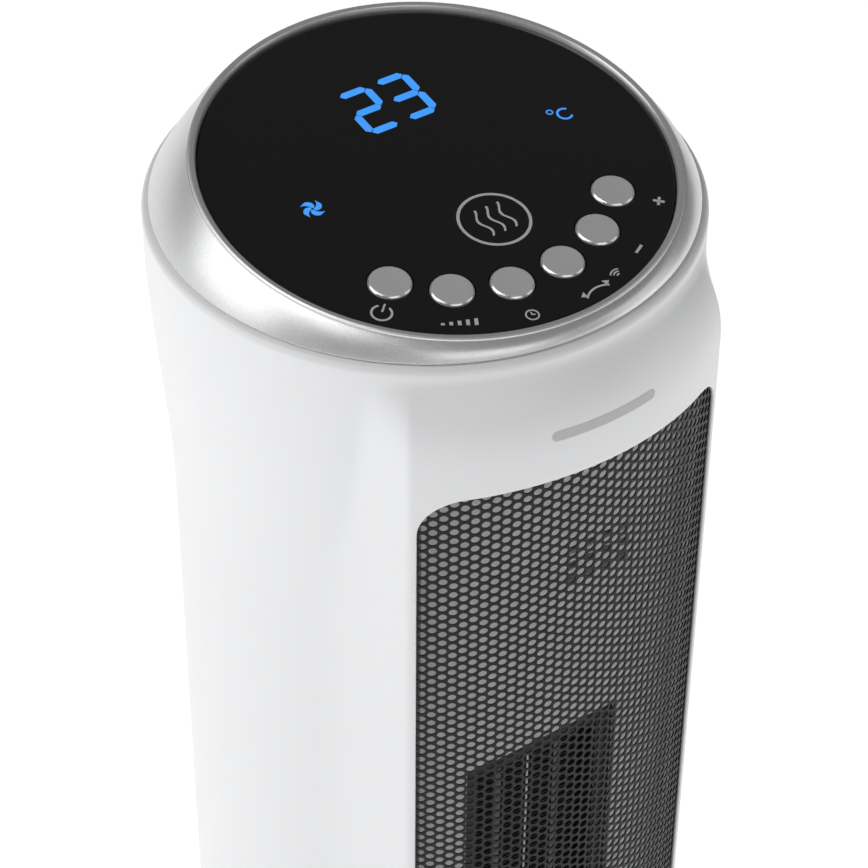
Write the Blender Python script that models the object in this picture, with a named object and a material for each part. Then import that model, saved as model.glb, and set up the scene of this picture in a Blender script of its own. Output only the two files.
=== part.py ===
"""A ceramic tower heater: a tower that swings on a round base, blowing through a heated grille.

The origin is on the floor at the swing axis, the front faces -Y, and sizes are in millimetres
until a mesh is made, when MM turns them into metres.
"""
import math

import bmesh
import bpy
from mathutils import Matrix, Vector

MM = 0.001
GAP = 0.3  # clearance between two pieces that touch

# Control panel, tilted towards the front
PANEL_HEIGHT = 565.0  # centre of the panel's face above the floor
PANEL_R = 65.0
PANEL_Y = -5.8
PANEL_TILT = math.radians(7.67)
PANEL_THICK = 2.5
CARRIER_THICK = 3.0
BUTTON_R = 6.0
BUTTON_RING_R = 48.0
BUTTON_SPACE = 4.34  # between neighbouring caps
BUTTON_PITCH = 2 * math.asin((2 * BUTTON_R + BUTTON_SPACE) / (2 * BUTTON_RING_R))
BUTTON_PROUD = 0.5
BUTTON_TRAVEL = 0.4
BUTTON_FLANGE = 1.2
BUTTON_NAMES = ("power", "heat", "timer", "swing", "minus", "plus")
BOARD_THICK = 1.6

# Bezel and casing
LIP_WIDE = 2.6
LIP_HIGH = 1.65
SEAM_DROP = 11.8  # the seam's depth below the centre of the panel
SEAM_R = 75.9
HEAD_R = 78.0
REAR_R = 73.2
FRONT_R = 86.0
WALL = 2.5
RIM_WIDE = 2.9  # the casing's flat rim under the bezel
CREASE = math.radians(37.0)  # front corners, as an angle from the front
SIDE_END = math.radians(65.0)
SIDE_POWER = 2.3
CREASE_SOFT = 0.35
SIDE_BLEND = 1.0
SHOULDER_DROP, SHOULDER_HIGH, SHOULDER_POWER = 17.0, 25.0, 2.5
NECK_DROP, NECK_HIGH = 20.0, 92.0
SHELL_BOTTOM = 36.0

# Front grille and what stands behind it
GRILLE_HALF = 49.5
GRILLE_DROP = 48.4  # the top of its arch below the centre of the panel
GRILLE_TOP = PANEL_HEIGHT - GRILLE_DROP
GRILLE_BOTTOM = 66.0
GRILLE_ARCH = 3.0
GRILLE_CORNER = 12.0
GRILLE_RECESS = 1.1
GRILLE_THICK = 0.9
BAFFLE_Y = -63.6
BAFFLE_THICK = 2.2
BAFFLE_HALF = 47.0
WINDOW_HALF = 27.4
WINDOW_TOP = 392.0
WINDOW_BOTTOM = 190.0
VENT_COLUMNS, VENT_ROWS = 4, 3
VENT_WIDE, VENT_HIGH = 4.0, 3.0
VENT_DROP = 59.1  # the vents' middle below the top of the grille
VENT_CENTRE = (17.0, GRILLE_TOP - VENT_DROP)

# Heating element
FRAME_DEEP = 17.0
FRAME_SIDE = 3.6  # how far the frame reaches past the window at each side
FRAME_HALF = WINDOW_HALF + FRAME_SIDE
FRAME_EDGE = 6.0  # how far the frame reaches past the window at top and bottom
FIN_Y = -56.6
FIN_DEEP = 10.0
FIN_WIDE = 8.7
CERAMIC_WIDE = 2.4
ELECTRODE_WIDE = 0.8

# Fan
FAN_Y = 10.0
FAN_R = 27.0
BLADES = 16
BLADE_DEEP = 6.5
SHAFT_R = 3.0
SCROLL_WALL = 2.2
SCROLL_FLOOR = 2.5
BUSH_R = 6.0
MOTOR_R, MOTOR_HIGH = 24.0, 32.0
BRACKET_TOP = 164.0
BRACKET_HALF = 40.0

# Base and swivel
BASE_R = 100.0
BASE_TOP = 30.0
BASE_WALL = 3.5
BASE_DECK = 4.0
PLATE_MARGIN, FOOT_MARGIN, BOSS_MARGIN = 5.0, 20.0, 16.0  # each from the edge of the base
PLATE_R = BASE_R - PLATE_MARGIN
PLATE_BOTTOM, PLATE_THICK = 3.0, 3.0
FOOT_R, FOOT_RING_R = 9.0, BASE_R - FOOT_MARGIN
BALLAST_IN, BALLAST_OUT, BALLAST_THICK = 30.0, 68.0, 8.0
BOSS_R, BOSS_RING_R = 4.5, BASE_R - BOSS_MARGIN
POST_R, POST_BORE, POST_TOP = 9.0, 6.0, 55.0
FLANGE_R, FLANGE_THICK = 22.0, 3.0
TRACK_IN, TRACK_OUT, THRUST_THICK = 64.5, 69.5, 1.8
FLOOR_BOTTOM, FLOOR_THICK = 40.0, 3.0
HUB_R, HUB_TOP = 14.0, 50.0
CLIP_BITE, CLIP_ROOM = 1.2, 2.0  # depth and height of the groove for the retaining clip

# Swing drive: a crank pin in a radial slot of the base
CRANK_Y = 36.0
CRANK_ARM = 21.6
CRANK_THICK = 4.0
PIN_R = 2.5
PIN_PLAY = 1.2
SWING_MOTOR_R, SWING_MOTOR_HIGH = 21.0, 14.0

# Rear: intake cover, rocker switch, tilt switch and cord gland
INTAKE_HALF = 46.0
INTAKE_TOP, INTAKE_BOTTOM = 410.0, 170.0
INTAKE_ROWS = 12
INTAKE_RIB = 7.5
SCREEN_THICK = 0.8
ROCKER_Z = 88.0
ROCKER_WIDE, ROCKER_HIGH = 15.2, 9.4
ROCKER_TILT = math.radians(8.0)
TILT_SWITCH_X, TILT_SWITCH_Y = -32.0, 70.0
PLUNGER_R, PLUNGER_HEAD_R, PLUNGER_DROP = 3.0, 4.4, 3.0
GLAND_Z, GLAND_HALF, GLAND_BORE = 14.5, 8.5, 3.6

LOW_POLY, MID_POLY, HIGH_POLY = 12, 24, 48

# Screws: the head's height, the depth it is sunk to, and the bores it passes and bites into
HEAD_HIGH, HEAD_R_SMALL, SHANK_R, TIP_R = 1.6, 3.2, 1.5, 1.1
SINK = HEAD_HIGH + GAP + 0.1
SCREW_BORE = 1.8


# ---- materials and small helpers ----

def material(name, colour, roughness, metallic=0.0):
    """A Principled material, made once for each name."""
    found = bpy.data.materials.get(name)
    if found:
        return found
    made = bpy.data.materials.new(name)
    made.use_nodes = True
    shader = made.node_tree.nodes["Principled BSDF"]
    shader.inputs["Base Color"].default_value = (*colour, 1)
    shader.inputs["Roughness"].default_value = roughness
    shader.inputs["Metallic"].default_value = metallic
    return made


WHITE = material("white_plastic", (0.86, 0.86, 0.87), 0.35)
SILVER = material("silver_paint", (0.55, 0.56, 0.58), 0.32, 0.8)
GREY = material("grey_plastic", (0.42, 0.43, 0.44), 0.5)
BLACK = material("black_plastic", (0.02, 0.02, 0.022), 0.45)
GLOSS = material("black_gloss", (0.01, 0.01, 0.012), 0.06)
MESH_BLACK = material("black_mesh", (0.015, 0.015, 0.017), 0.4, 0.3)
STEEL = material("steel", (0.6, 0.6, 0.62), 0.3, 1.0)
ALUMINIUM = material("fin_aluminium", (0.35, 0.35, 0.36), 0.45, 0.9)
CERAMIC = material("heating_ceramic", (0.5, 0.48, 0.45), 0.7)
RUBBER = material("rubber", (0.03, 0.03, 0.03), 0.85)
BOARD = material("circuit_board", (0.03, 0.16, 0.08), 0.5)
NYLON = material("nylon", (0.75, 0.74, 0.70), 0.45)
DISPLAY = material("display_blue", (0.05, 0.2, 0.6), 0.3)


def finish(name, mesh, parent=None, look=None, origin=(0, 0, 0)):
    """Turn a bmesh in millimetres into a named object, its origin at a place of its parent's frame."""
    bmesh.ops.recalc_face_normals(mesh, faces=mesh.faces)
    bmesh.ops.transform(mesh, matrix=Matrix.Scale(MM, 4), verts=mesh.verts)
    data = bpy.data.meshes.new(name)
    mesh.to_mesh(data)
    mesh.free()
    data.shade_smooth()
    data.set_sharp_from_angle(angle=math.radians(35))
    made = bpy.data.objects.new(name, data)
    bpy.context.scene.collection.objects.link(made)
    made.location = Vector(origin) * MM
    made.parent = parent
    if look:
        data.materials.append(look)
    return made


def frame_at(name, origin, parent=None, tilt=0.0):
    """An empty that carries the pieces of one moving body."""
    made = bpy.data.objects.new(name, None)
    bpy.context.scene.collection.objects.link(made)
    made.location = Vector(origin) * MM
    made.rotation_euler = (tilt, 0, 0)
    made.parent = parent
    return made


def helper(made):
    """Keep a cutter or a shape to be joined out of the model itself."""
    made.hide_render = True
    made.display_type = "WIRE"
    return made


def combine(target, tool, operation="DIFFERENCE"):
    step = target.modifiers.new(tool.name, "BOOLEAN")
    step.operation = operation
    step.solver = "EXACT"
    step.object = helper(tool)
    return target


# ---- shapes, each a bmesh in millimetres ----

def turned(profile, steps=MID_POLY, centre=(0, 0)):
    """A profile of (radius, height) turned about an upright axis; it may start and end on the axis."""
    mesh = bmesh.new()
    points = [mesh.verts.new((radius, 0, height)) for radius, height in profile]
    on_axis = profile[0][0] == 0 and profile[-1][0] == 0
    pairs = list(zip(points, points[1:]))
    if not on_axis:
        pairs.append((points[-1], points[0]))
    edges = [mesh.edges.new(pair) for pair in pairs]
    bmesh.ops.spin(mesh, geom=points + edges, cent=(0, 0, 0), axis=(0, 0, 1),
                   angle=math.tau, steps=steps, use_merge=False)
    bmesh.ops.remove_doubles(mesh, verts=mesh.verts, dist=1e-4)
    bmesh.ops.translate(mesh, vec=(*centre, 0), verts=mesh.verts)
    return mesh


def rod(radius, bottom, top, centre=(0, 0), steps=LOW_POLY):
    return turned([(0, top), (radius, top), (radius, bottom), (0, bottom)], steps, centre)


def clear_of(radius, widest):
    """Radius of a faceted hole whose flats, each this wide an angle, stay a clearance off a round piece."""
    return (radius + GAP) / math.cos(widest / 2)


def tube(inner, outer, bottom, top, steps=MID_POLY):
    return turned([(inner, top), (outer, top), (outer, bottom), (inner, bottom)], steps)


def block(low, high, bevel=0.0):
    mesh = bmesh.new()
    bmesh.ops.create_cube(mesh, size=1)
    size = Vector(high) - Vector(low)
    bmesh.ops.scale(mesh, vec=size, verts=mesh.verts)
    bmesh.ops.translate(mesh, vec=Vector(low) + size / 2, verts=mesh.verts)
    if bevel:
        bmesh.ops.bevel(mesh, geom=mesh.edges[:], offset=bevel, segments=2, affect="EDGES", profile=0.5)
    return mesh


def prism(outline, low, high, up="Z"):
    """A flat outline pulled from low to high: along Z it is (x, y), along Y it is (x, z)."""
    mesh = bmesh.new()
    if up == "Z":
        points = [mesh.verts.new((x, y, low)) for x, y in outline]
        step = (0, 0, high - low)
    else:
        points = [mesh.verts.new((x, low, z)) for x, z in outline]
        step = (0, high - low, 0)
    pulled = bmesh.ops.extrude_face_region(mesh, geom=[mesh.faces.new(points)])["geom"]
    moved = [item for item in pulled if isinstance(item, bmesh.types.BMVert)]
    bmesh.ops.translate(mesh, vec=step, verts=moved)
    return mesh


def merged(shapes):
    """Several closed shapes that don't meet, as one mesh for a Boolean."""
    whole = bmesh.new()
    for shape in shapes:
        spare = bpy.data.meshes.new("spare")
        shape.to_mesh(spare)
        shape.free()
        whole.from_mesh(spare)
        bpy.data.meshes.remove(spare)
    return whole


def hoops(rings):
    """A tube-like solid whose rings follow each other round its wall and meet at the ends."""
    mesh = bmesh.new()
    rows = [[mesh.verts.new(point) for point in ring] for ring in rings]
    for row, after in zip(rows, rows[1:] + rows[:1]):
        for i in range(len(row)):
            j = (i + 1) % len(row)
            mesh.faces.new((row[i], row[j], after[j], after[i]))
    return mesh


def around(mesh, angle):
    bmesh.ops.rotate(mesh, cent=(0, 0, 0), matrix=Matrix.Rotation(angle, 3, "Z"), verts=mesh.verts)
    return mesh


def arc(centre, radius, start, end, steps):
    """Points of an arc, its angles in degrees."""
    turns = [math.radians(start + (end - start) * i / steps) for i in range(steps + 1)]
    return [(centre[0] + radius * math.cos(a), centre[1] + radius * math.sin(a)) for a in turns]


def strip(points, thick):
    """The outline of a wall of even thickness along an open line."""
    left, right = [], []
    for i, point in enumerate(points):
        before, after = points[max(i - 1, 0)], points[min(i + 1, len(points) - 1)]
        along = Vector((after[0] - before[0], after[1] - before[1])).normalized() * thick / 2
        left.append((point[0] - along.y, point[1] + along.x))
        right.append((point[0] + along.y, point[1] - along.x))
    return left + right[::-1]


def screw(name, centre, head_bottom, shank_top, parent=None):
    """A pan-head screw driven upwards."""
    head_top = head_bottom + HEAD_HIGH
    profile = [(0, shank_top), (TIP_R, shank_top), (SHANK_R, shank_top - 1), (SHANK_R, head_top),
               (HEAD_R_SMALL, head_top), (HEAD_R_SMALL, head_bottom + 0.5), (HEAD_R_SMALL - 0.6, head_bottom),
               (0, head_bottom)]
    shape = turned(profile, LOW_POLY, centre)
    return finish(name, shape, parent, STEEL)


# ---- the casing's outer surface ----

def plan_radius(angle):
    """Radius of the tower's plan at an angle from the front: round front, creased corner, swept side."""
    away = max(0.0, (SIDE_END - angle) / (SIDE_END - CREASE))
    floor = REAR_R - SIDE_BLEND
    side = floor + (FRONT_R - floor) * away ** SIDE_POWER
    return min(FRONT_R, side) - CREASE_SOFT * math.log1p(math.exp(-abs(FRONT_R - side) / CREASE_SOFT))


def casing_radius(angle, height):
    """Radius of the casing's outside: a round head that swells into the tower's own plan."""
    below = PANEL_HEIGHT - height
    fall = min(1.0, max(0.0, (below - NECK_DROP) / NECK_HIGH))
    round_r = HEAD_R + (REAR_R - HEAD_R) * fall * fall * (3 - 2 * fall)
    swell = 1 - (1 - min(1.0, max(0.0, (below - SHOULDER_DROP) / SHOULDER_HIGH))) ** SHOULDER_POWER
    over = plan_radius(abs(angle)) - round_r
    if over < SIDE_BLEND:
        over = max(0.0, over + SIDE_BLEND) ** 2 / (4 * SIDE_BLEND)
    return round_r + swell * over


def plan_angles():
    """Angles from the front, closer together at the creased corners."""
    crease = math.degrees(CREASE)
    front = [crease * i / 5 for i in range(5)]
    corner = [crease + step for step in (-1.6, -0.4, 0.8, 2.6, 6.5, 12.0, 18.5, 26.0)]
    rear = [corner[-1] + (180 - corner[-1]) * i / 10 for i in range(1, 10)]
    half = [math.radians(a) for a in front[1:] + corner + rear]
    return [0.0] + half + [math.pi] + [-a for a in reversed(half)]


def casing_ring(height, inset=0.0, angles=None):
    """One level of the casing, moved inwards by an inset."""
    ring = []
    for angle in angles or plan_angles():
        radius = casing_radius(angle, height) - inset
        ring.append((radius * math.sin(angle), -radius * math.cos(angle), height))
    return ring


def level_ring(radius, height):
    return [(radius * math.sin(a), -radius * math.cos(a), height) for a in plan_angles()]


def grille_outline(gap=0.0):
    """The front opening as (x, z): straight sides, round corners and a gently arched top."""
    half, corner = GRILLE_HALF - gap, GRILLE_CORNER - gap
    reach = half - corner

    def top(x):
        return GRILLE_TOP - gap - GRILLE_ARCH * (x / GRILLE_HALF) ** 2

    floor = GRILLE_BOTTOM + gap
    line = arc((reach, floor + corner), corner, -90, 0, 5)
    line += arc((reach, top(reach) - corner), corner, 0, 85, 5)
    line += [(reach * (1 - 2 * i / 10), top(reach * (1 - 2 * i / 10))) for i in range(1, 10)]
    line += arc((-reach, top(reach) - corner), corner, 95, 180, 5)
    line += arc((-reach, floor + corner), corner, 180, 270, 5)
    return line


# ---- the base ----

def base_pieces():
    ceiling = BASE_TOP - BASE_DECK
    inside = BASE_R - BASE_WALL
    profile = [(POST_R + GAP * 2, BASE_TOP), (BASE_R - 26, BASE_TOP), (BASE_R - 14, BASE_TOP - 1.6),
               (BASE_R - 6, BASE_TOP - 5.5), (BASE_R - 1.5, BASE_TOP - 12), (BASE_R, BASE_TOP - 19),
               (BASE_R, PLATE_BOTTOM + GAP), (inside, PLATE_BOTTOM + GAP), (inside, BASE_TOP - 18),
               (inside - 5, BASE_TOP - 9), (inside - 13, ceiling), (POST_R + GAP * 2, ceiling)]
    cover = finish("base_cover", turned(profile, HIGH_POLY), None, WHITE)
    floor = PLATE_BOTTOM + PLATE_THICK + GAP
    bosses = [rod(BOSS_R, floor, ceiling + 1, spot) for spot in boss_spots()]
    combine(cover, finish("cover_bosses", merged(bosses)), "UNION")
    reach = CRANK_Y + CRANK_ARM
    near = CRANK_Y - CRANK_ARM
    half = PIN_R + PIN_PLAY
    slot = arc((0, reach), half, 0, 180, 8) + arc((0, near), half, 180, 360, 8)
    cuts = [prism(slot, ceiling - 1, BASE_TOP + 1)]
    cuts += [rod(SCREW_BORE, floor - 1, floor + 12, spot) for spot in boss_spots()]
    cuts += [rod(SCREW_BORE, ceiling - 1, BASE_TOP - 0.6, spot) for spot in flange_spots()]
    combine(cover, finish("slot_and_screw_holes", merged(cuts)))
    side = GLAND_HALF + GAP
    notch = block((-side, BASE_R - 16, GLAND_Z - side + 0.2), (side, BASE_R + 5, GLAND_Z + side))
    combine(cover, finish("gland_notch", notch))

    disc = rod(PLATE_R, PLATE_BOTTOM, PLATE_BOTTOM + PLATE_THICK, steps=HIGH_POLY)
    plate = finish("base_plate", disc, None, BLACK)
    top = PLATE_BOTTOM + PLATE_THICK + 1
    sunk = PLATE_BOTTOM + SINK
    wide = HEAD_R_SMALL + 0.4
    profile = [(0, top), (SCREW_BORE, top), (SCREW_BORE, sunk), (wide, sunk), (wide, 0), (0, 0)]
    drilled = [turned(profile, LOW_POLY, spot) for spot in boss_spots()]
    drilled += [rod(3.4, 0, top, spot) for spot in foot_spots()]
    drilled.append(rod(PLUNGER_R + 0.5, 0, top, (TILT_SWITCH_X, TILT_SWITCH_Y)))
    combine(plate, finish("plate_holes", merged(drilled)))

    for i, spot in enumerate(foot_spots(), 1):
        foot = turned([(0, PLATE_BOTTOM + 2.6), (3.0, PLATE_BOTTOM + 2.6), (3.0, PLATE_BOTTOM - GAP),
                       (FOOT_R, PLATE_BOTTOM - GAP), (FOOT_R, 1.0), (FOOT_R - 1, 0), (0, 0)], 18, spot)
        finish(f"foot_{i}", foot, None, RUBBER)
    for i, spot in enumerate(boss_spots(), 1):
        screw(f"base_screw_{i}", spot, PLATE_BOTTOM + SINK - GAP - HEAD_HIGH, floor + 10)

    ring = arc((0, 0), BALLAST_OUT, 135, 405, 24) + arc((0, 0), BALLAST_IN, 405, 135, 24)
    finish("ballast_plate", prism(ring, floor, floor + BALLAST_THICK), None, STEEL)

    gland = block((-GLAND_HALF, BASE_R - 14, GLAND_Z - GLAND_HALF + 0.6),
                  (GLAND_HALF, BASE_R - 1.5, GLAND_Z + GLAND_HALF - GAP), 1.2)
    gland = finish("cord_gland", gland, None, RUBBER)
    bore = rod(GLAND_BORE, -20, 20)
    bmesh.ops.rotate(bore, cent=(0, 0, 0), matrix=Matrix.Rotation(math.pi / 2, 3, "X"), verts=bore.verts)
    bmesh.ops.translate(bore, vec=(0, BASE_R - 8, GLAND_Z), verts=bore.verts)
    combine(gland, finish("gland_bore", bore))


def boss_spots():
    return [(BOSS_RING_R * math.cos(a), BOSS_RING_R * math.sin(a))
            for a in (math.radians(45 + 90 * i) for i in range(4))]


def foot_spots():
    return [(FOOT_RING_R * math.cos(a), FOOT_RING_R * math.sin(a))
            for a in (math.radians(22 + 45 * k) for k in (0, 3, 4, 7))]


def flange_spots():
    reach = FLANGE_R - 5.5
    return [(reach * math.cos(a), reach * math.sin(a)) for a in (math.radians(-28), math.radians(208))]


def swivel_pieces():
    top = BASE_TOP - BASE_DECK - GAP
    groove = HUB_TOP + GAP
    neck = POST_R - CLIP_BITE
    groove_top = groove + CLIP_ROOM
    profile = [(POST_BORE, POST_TOP), (POST_R, POST_TOP), (POST_R, groove_top), (neck, groove_top),
               (neck, groove), (POST_R, groove), (POST_R, top), (FLANGE_R, top),
               (FLANGE_R, top - FLANGE_THICK), (POST_BORE, top - FLANGE_THICK)]
    post = finish("swivel_post", turned(profile), None, NYLON)
    holes = [rod(SCREW_BORE, top - FLANGE_THICK - 1, top + 1, spot) for spot in flange_spots()]
    combine(post, finish("flange_holes", merged(holes)))
    for i, spot in enumerate(flange_spots(), 1):
        screw(f"post_screw_{i}", spot, top - FLANGE_THICK - HEAD_HIGH - GAP, BASE_TOP - 1.2)
    under = BASE_TOP + GAP
    finish("thrust_ring", tube(TRACK_IN, TRACK_OUT, under, under + THRUST_THICK, 36), None, NYLON)


def tilt_switch_pieces():
    x, y = TILT_SWITCH_X, TILT_SWITCH_Y
    floor = PLATE_BOTTOM + PLATE_THICK + GAP
    case = finish("tilt_switch", block((x - 7, y - 7, floor), (x + 7, y + 7, floor + 13), 0.8), None, BLACK)
    step = floor + 2
    wide, neck = PLUNGER_HEAD_R + 0.5, PLUNGER_R + 0.5
    high = floor + 10
    profile = [(0, high), (wide, high), (wide, step), (neck, step), (neck, floor - 1), (0, floor - 1)]
    combine(case, finish("switch_well", turned(profile, 16, (x, y))))
    body = frame_at("plunger_slide", (x, y, 0))
    head = step + GAP + PLUNGER_DROP  # the pin's head lands on the well's step at the end of its drop
    pin = turned([(0, head + 1.5), (PLUNGER_HEAD_R, head + 1.5), (PLUNGER_HEAD_R, head), (PLUNGER_R, head),
                  (PLUNGER_R, 2.2), (PLUNGER_R - 1.4, 0.4), (0, 0.4)], 16)
    finish("tilt_plunger", pin, body, NYLON)


# ---- the tower's floor and swing drive ----

def turntable(tower):
    outline = [(x, y) for x, y, _ in casing_ring(FLOOR_BOTTOM, WALL + 0.4)]
    top = FLOOR_BOTTOM + FLOOR_THICK
    floor = finish("turntable", prism(outline, FLOOR_BOTTOM, top), tower, GREY)
    runner = BASE_TOP + THRUST_THICK + 2 * GAP
    track = tube(TRACK_IN, TRACK_OUT, runner, FLOOR_BOTTOM + 1, 36)
    combine(floor, finish("runner", track, tower), "UNION")
    combine(floor, finish("hub", rod(HUB_R, FLOOR_BOTTOM - 2, HUB_TOP, steps=MID_POLY), tower), "UNION")
    holes = [rod(POST_R + 0.4, FLOOR_BOTTOM - 5, HUB_TOP + 5, steps=MID_POLY),
             rod(PIN_R + 1.0, FLOOR_BOTTOM - 5, top + 5, (0, CRANK_Y))]
    combine(floor, finish("floor_holes", merged(holes), tower))
    groove = HUB_TOP + GAP
    clip = turned([(POST_R - 0.9, groove + 1.5), (POST_R + 4, groove + 1.5), (POST_R + 4, groove + 0.3),
                   (POST_R - 0.9, groove + 0.3)])
    finish("retaining_clip", clip, tower, STEEL)


def swing_drive(tower):
    floor_top = FLOOR_BOTTOM + FLOOR_THICK
    motor = turned([(0, floor_top + SWING_MOTOR_HIGH), (SWING_MOTOR_R - 1, floor_top + SWING_MOTOR_HIGH),
                    (SWING_MOTOR_R, floor_top + SWING_MOTOR_HIGH - 1), (SWING_MOTOR_R, floor_top + 0.4),
                    (0, floor_top + 0.4)], 28, (0, CRANK_Y))
    finish("swing_motor", motor, tower, STEEL)
    crank = frame_at("crank_axis", (0, CRANK_Y, 0), tower)
    low = BASE_TOP + 3.2
    pull = arc((0, CRANK_ARM), PIN_R + 2, 0, 180, 8) + arc((0, 0), PIN_R + 3.5, 180, 360, 8)
    arm = finish("swing_crank", prism(pull, low, low + CRANK_THICK), crank, NYLON)
    shaft = rod(PIN_R, low + 1, floor_top + 0.1)
    combine(arm, finish("crank_shaft", shaft, crank), "UNION")
    pin = rod(PIN_R, BASE_TOP - BASE_DECK + 0.4, low + 1, (0, CRANK_ARM))
    combine(arm, finish("crank_pin", pin, crank), "UNION")


# ---- casing, grille and baffle ----

def casing(tower):
    head = PANEL_HEIGHT - SEAM_DROP - GAP
    edge = HEAD_R - SEAM_R
    rings = [casing_ring(SHELL_BOTTOM, 0.8), casing_ring(SHELL_BOTTOM + 0.8)]
    neck_end = PANEL_HEIGHT - NECK_DROP - NECK_HIGH
    levels = [neck_end + NECK_HIGH * share for share in (0, 0.25, 0.5, 0.7)]
    levels += [PANEL_HEIGHT - SHOULDER_DROP - SHOULDER_HIGH * share for share in (0.75, 0.45, 0.22, 0)]
    rings += [casing_ring(height) for height in levels]
    for turn in (0, 45, 90):
        slope = math.radians(turn)
        rings.append(level_ring(SEAM_R + edge * math.cos(slope), head - edge + edge * math.sin(slope)))
    rings.append(level_ring(SEAM_R - RIM_WIDE, head))
    rings.append(level_ring(SEAM_R - RIM_WIDE, head - 3.2))
    rings += [casing_ring(height, WALL) for height in reversed(levels[:-1])]
    rings.append(casing_ring(SHELL_BOTTOM, WALL))
    shell = finish("main_shell", hoops(rings), tower, WHITE)
    combine(shell, finish("grille_cut", prism(grille_outline(), -BASE_R, -BASE_R / 2, "Y"), tower))
    rear = block((-INTAKE_HALF, BASE_R / 4, INTAKE_BOTTOM), (INTAKE_HALF, BASE_R, INTAKE_TOP))
    combine(shell, finish("intake_cut", rear, tower))
    wide, high = ROCKER_WIDE / 2 + 2.4, ROCKER_HIGH / 2 + 2.4
    slot = block((-wide, BASE_R / 2, ROCKER_Z - high), (wide, BASE_R, ROCKER_Z + high))
    combine(shell, finish("rocker_cut", slot, tower))


def curved_sheet(inner, outer, half_angle, low, high, facing):
    """A sheet bent round the swing axis, facing the front (-1) or the rear (1)."""
    middle = 90 * facing
    line = arc((0, 0), outer, middle - half_angle, middle + half_angle, 12)
    line += arc((0, 0), inner, middle + half_angle, middle - half_angle, 12)
    return prism(line, low, high)


def grille(tower):
    outer = FRONT_R - GRILLE_RECESS
    sheet = curved_sheet(outer - GRILLE_THICK, outer, 42, GRILLE_BOTTOM - 5, GRILLE_TOP + 5, -1)
    sheet = finish("front_grille", sheet, tower, MESH_BLACK)
    edge = prism(grille_outline(GAP), -BASE_R, -BASE_R / 2, "Y")
    combine(sheet, finish("grille_edge", edge, tower), "INTERSECT")


def baffle(tower):
    back = BAFFLE_Y + BAFFLE_THICK
    low, high = GRILLE_BOTTOM - 6, GRILLE_TOP + 4
    inner = FRONT_R - WALL - 3 * GAP  # the tray's corners stay clear of the flats inside the casing
    lip = -math.sqrt(inner ** 2 - BAFFLE_HALF ** 2)
    step = BAFFLE_HALF - BAFFLE_THICK
    tray = [(-BAFFLE_HALF, lip), (-step, lip), (-step, BAFFLE_Y), (step, BAFFLE_Y), (step, lip),
            (BAFFLE_HALF, lip), (BAFFLE_HALF, back), (-BAFFLE_HALF, back)]
    plate = finish("inner_baffle", prism(tray, low, high), tower, GREY)
    cuts = [block((-WINDOW_HALF, BAFFLE_Y - 2, WINDOW_BOTTOM), (WINDOW_HALF, back + 2, WINDOW_TOP))]
    for row in range(VENT_ROWS):
        for column in range(VENT_COLUMNS):
            x = VENT_CENTRE[0] + (column - (VENT_COLUMNS - 1) / 2) * VENT_WIDE * 1.5
            z = VENT_CENTRE[1] + (row - (VENT_ROWS - 1) / 2) * VENT_HIGH * 2
            cuts.append(block((x - VENT_WIDE / 2, BAFFLE_Y - 2, z - VENT_HIGH / 2),
                              (x + VENT_WIDE / 2, back + 2, z + VENT_HIGH / 2)))
    combine(plate, finish("baffle_cuts", merged(cuts), tower))


# ---- heating element ----

def heater(tower):
    front = BAFFLE_Y + BAFFLE_THICK + GAP
    back = front + FRAME_DEEP
    low, high = WINDOW_BOTTOM - FRAME_EDGE, WINDOW_TOP + FRAME_EDGE
    outer = block((-FRAME_HALF, front, low), (FRAME_HALF, back, high), 1.0)
    frame = finish("heater_frame", outer, tower, BLACK)
    half = 2 * FIN_WIDE + CERAMIC_WIDE + ELECTRODE_WIDE / 2 + 4 * GAP
    bottom, top = WINDOW_BOTTOM + 8, WINDOW_TOP - 8
    hole = block((-half - GAP, front - 2, bottom - GAP), (half + GAP, back + 2, top + GAP))
    combine(frame, finish("frame_hole", hole, tower))
    x = -half
    row = (("fin_pack_1", FIN_WIDE), ("ceramic_bar_1", CERAMIC_WIDE), ("fin_pack_2", FIN_WIDE),
           ("electrode_strip", ELECTRODE_WIDE), ("fin_pack_3", FIN_WIDE), ("ceramic_bar_2", CERAMIC_WIDE),
           ("fin_pack_4", FIN_WIDE))
    for name, wide in row:
        look = {"f": ALUMINIUM, "c": CERAMIC, "e": STEEL}[name[0]]
        x += GAP / 2
        finish(name, block((x, FIN_Y, bottom), (x + wide, FIN_Y + FIN_DEEP, top)), tower, look)
        x += wide + GAP / 2
    cutout = turned([(0, 4), (8, 4), (8, 1), (5.5, 0), (5.5, -4), (0, -4)])
    lay_down = Matrix.Rotation(math.pi / 2, 3, "X")
    bmesh.ops.rotate(cutout, cent=(0, 0, 0), matrix=lay_down, verts=cutout.verts)
    bmesh.ops.translate(cutout, vec=(0, front + 6, high + 9), verts=cutout.verts)
    finish("thermal_cutout", cutout, tower, STEEL)


# ---- fan ----

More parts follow.
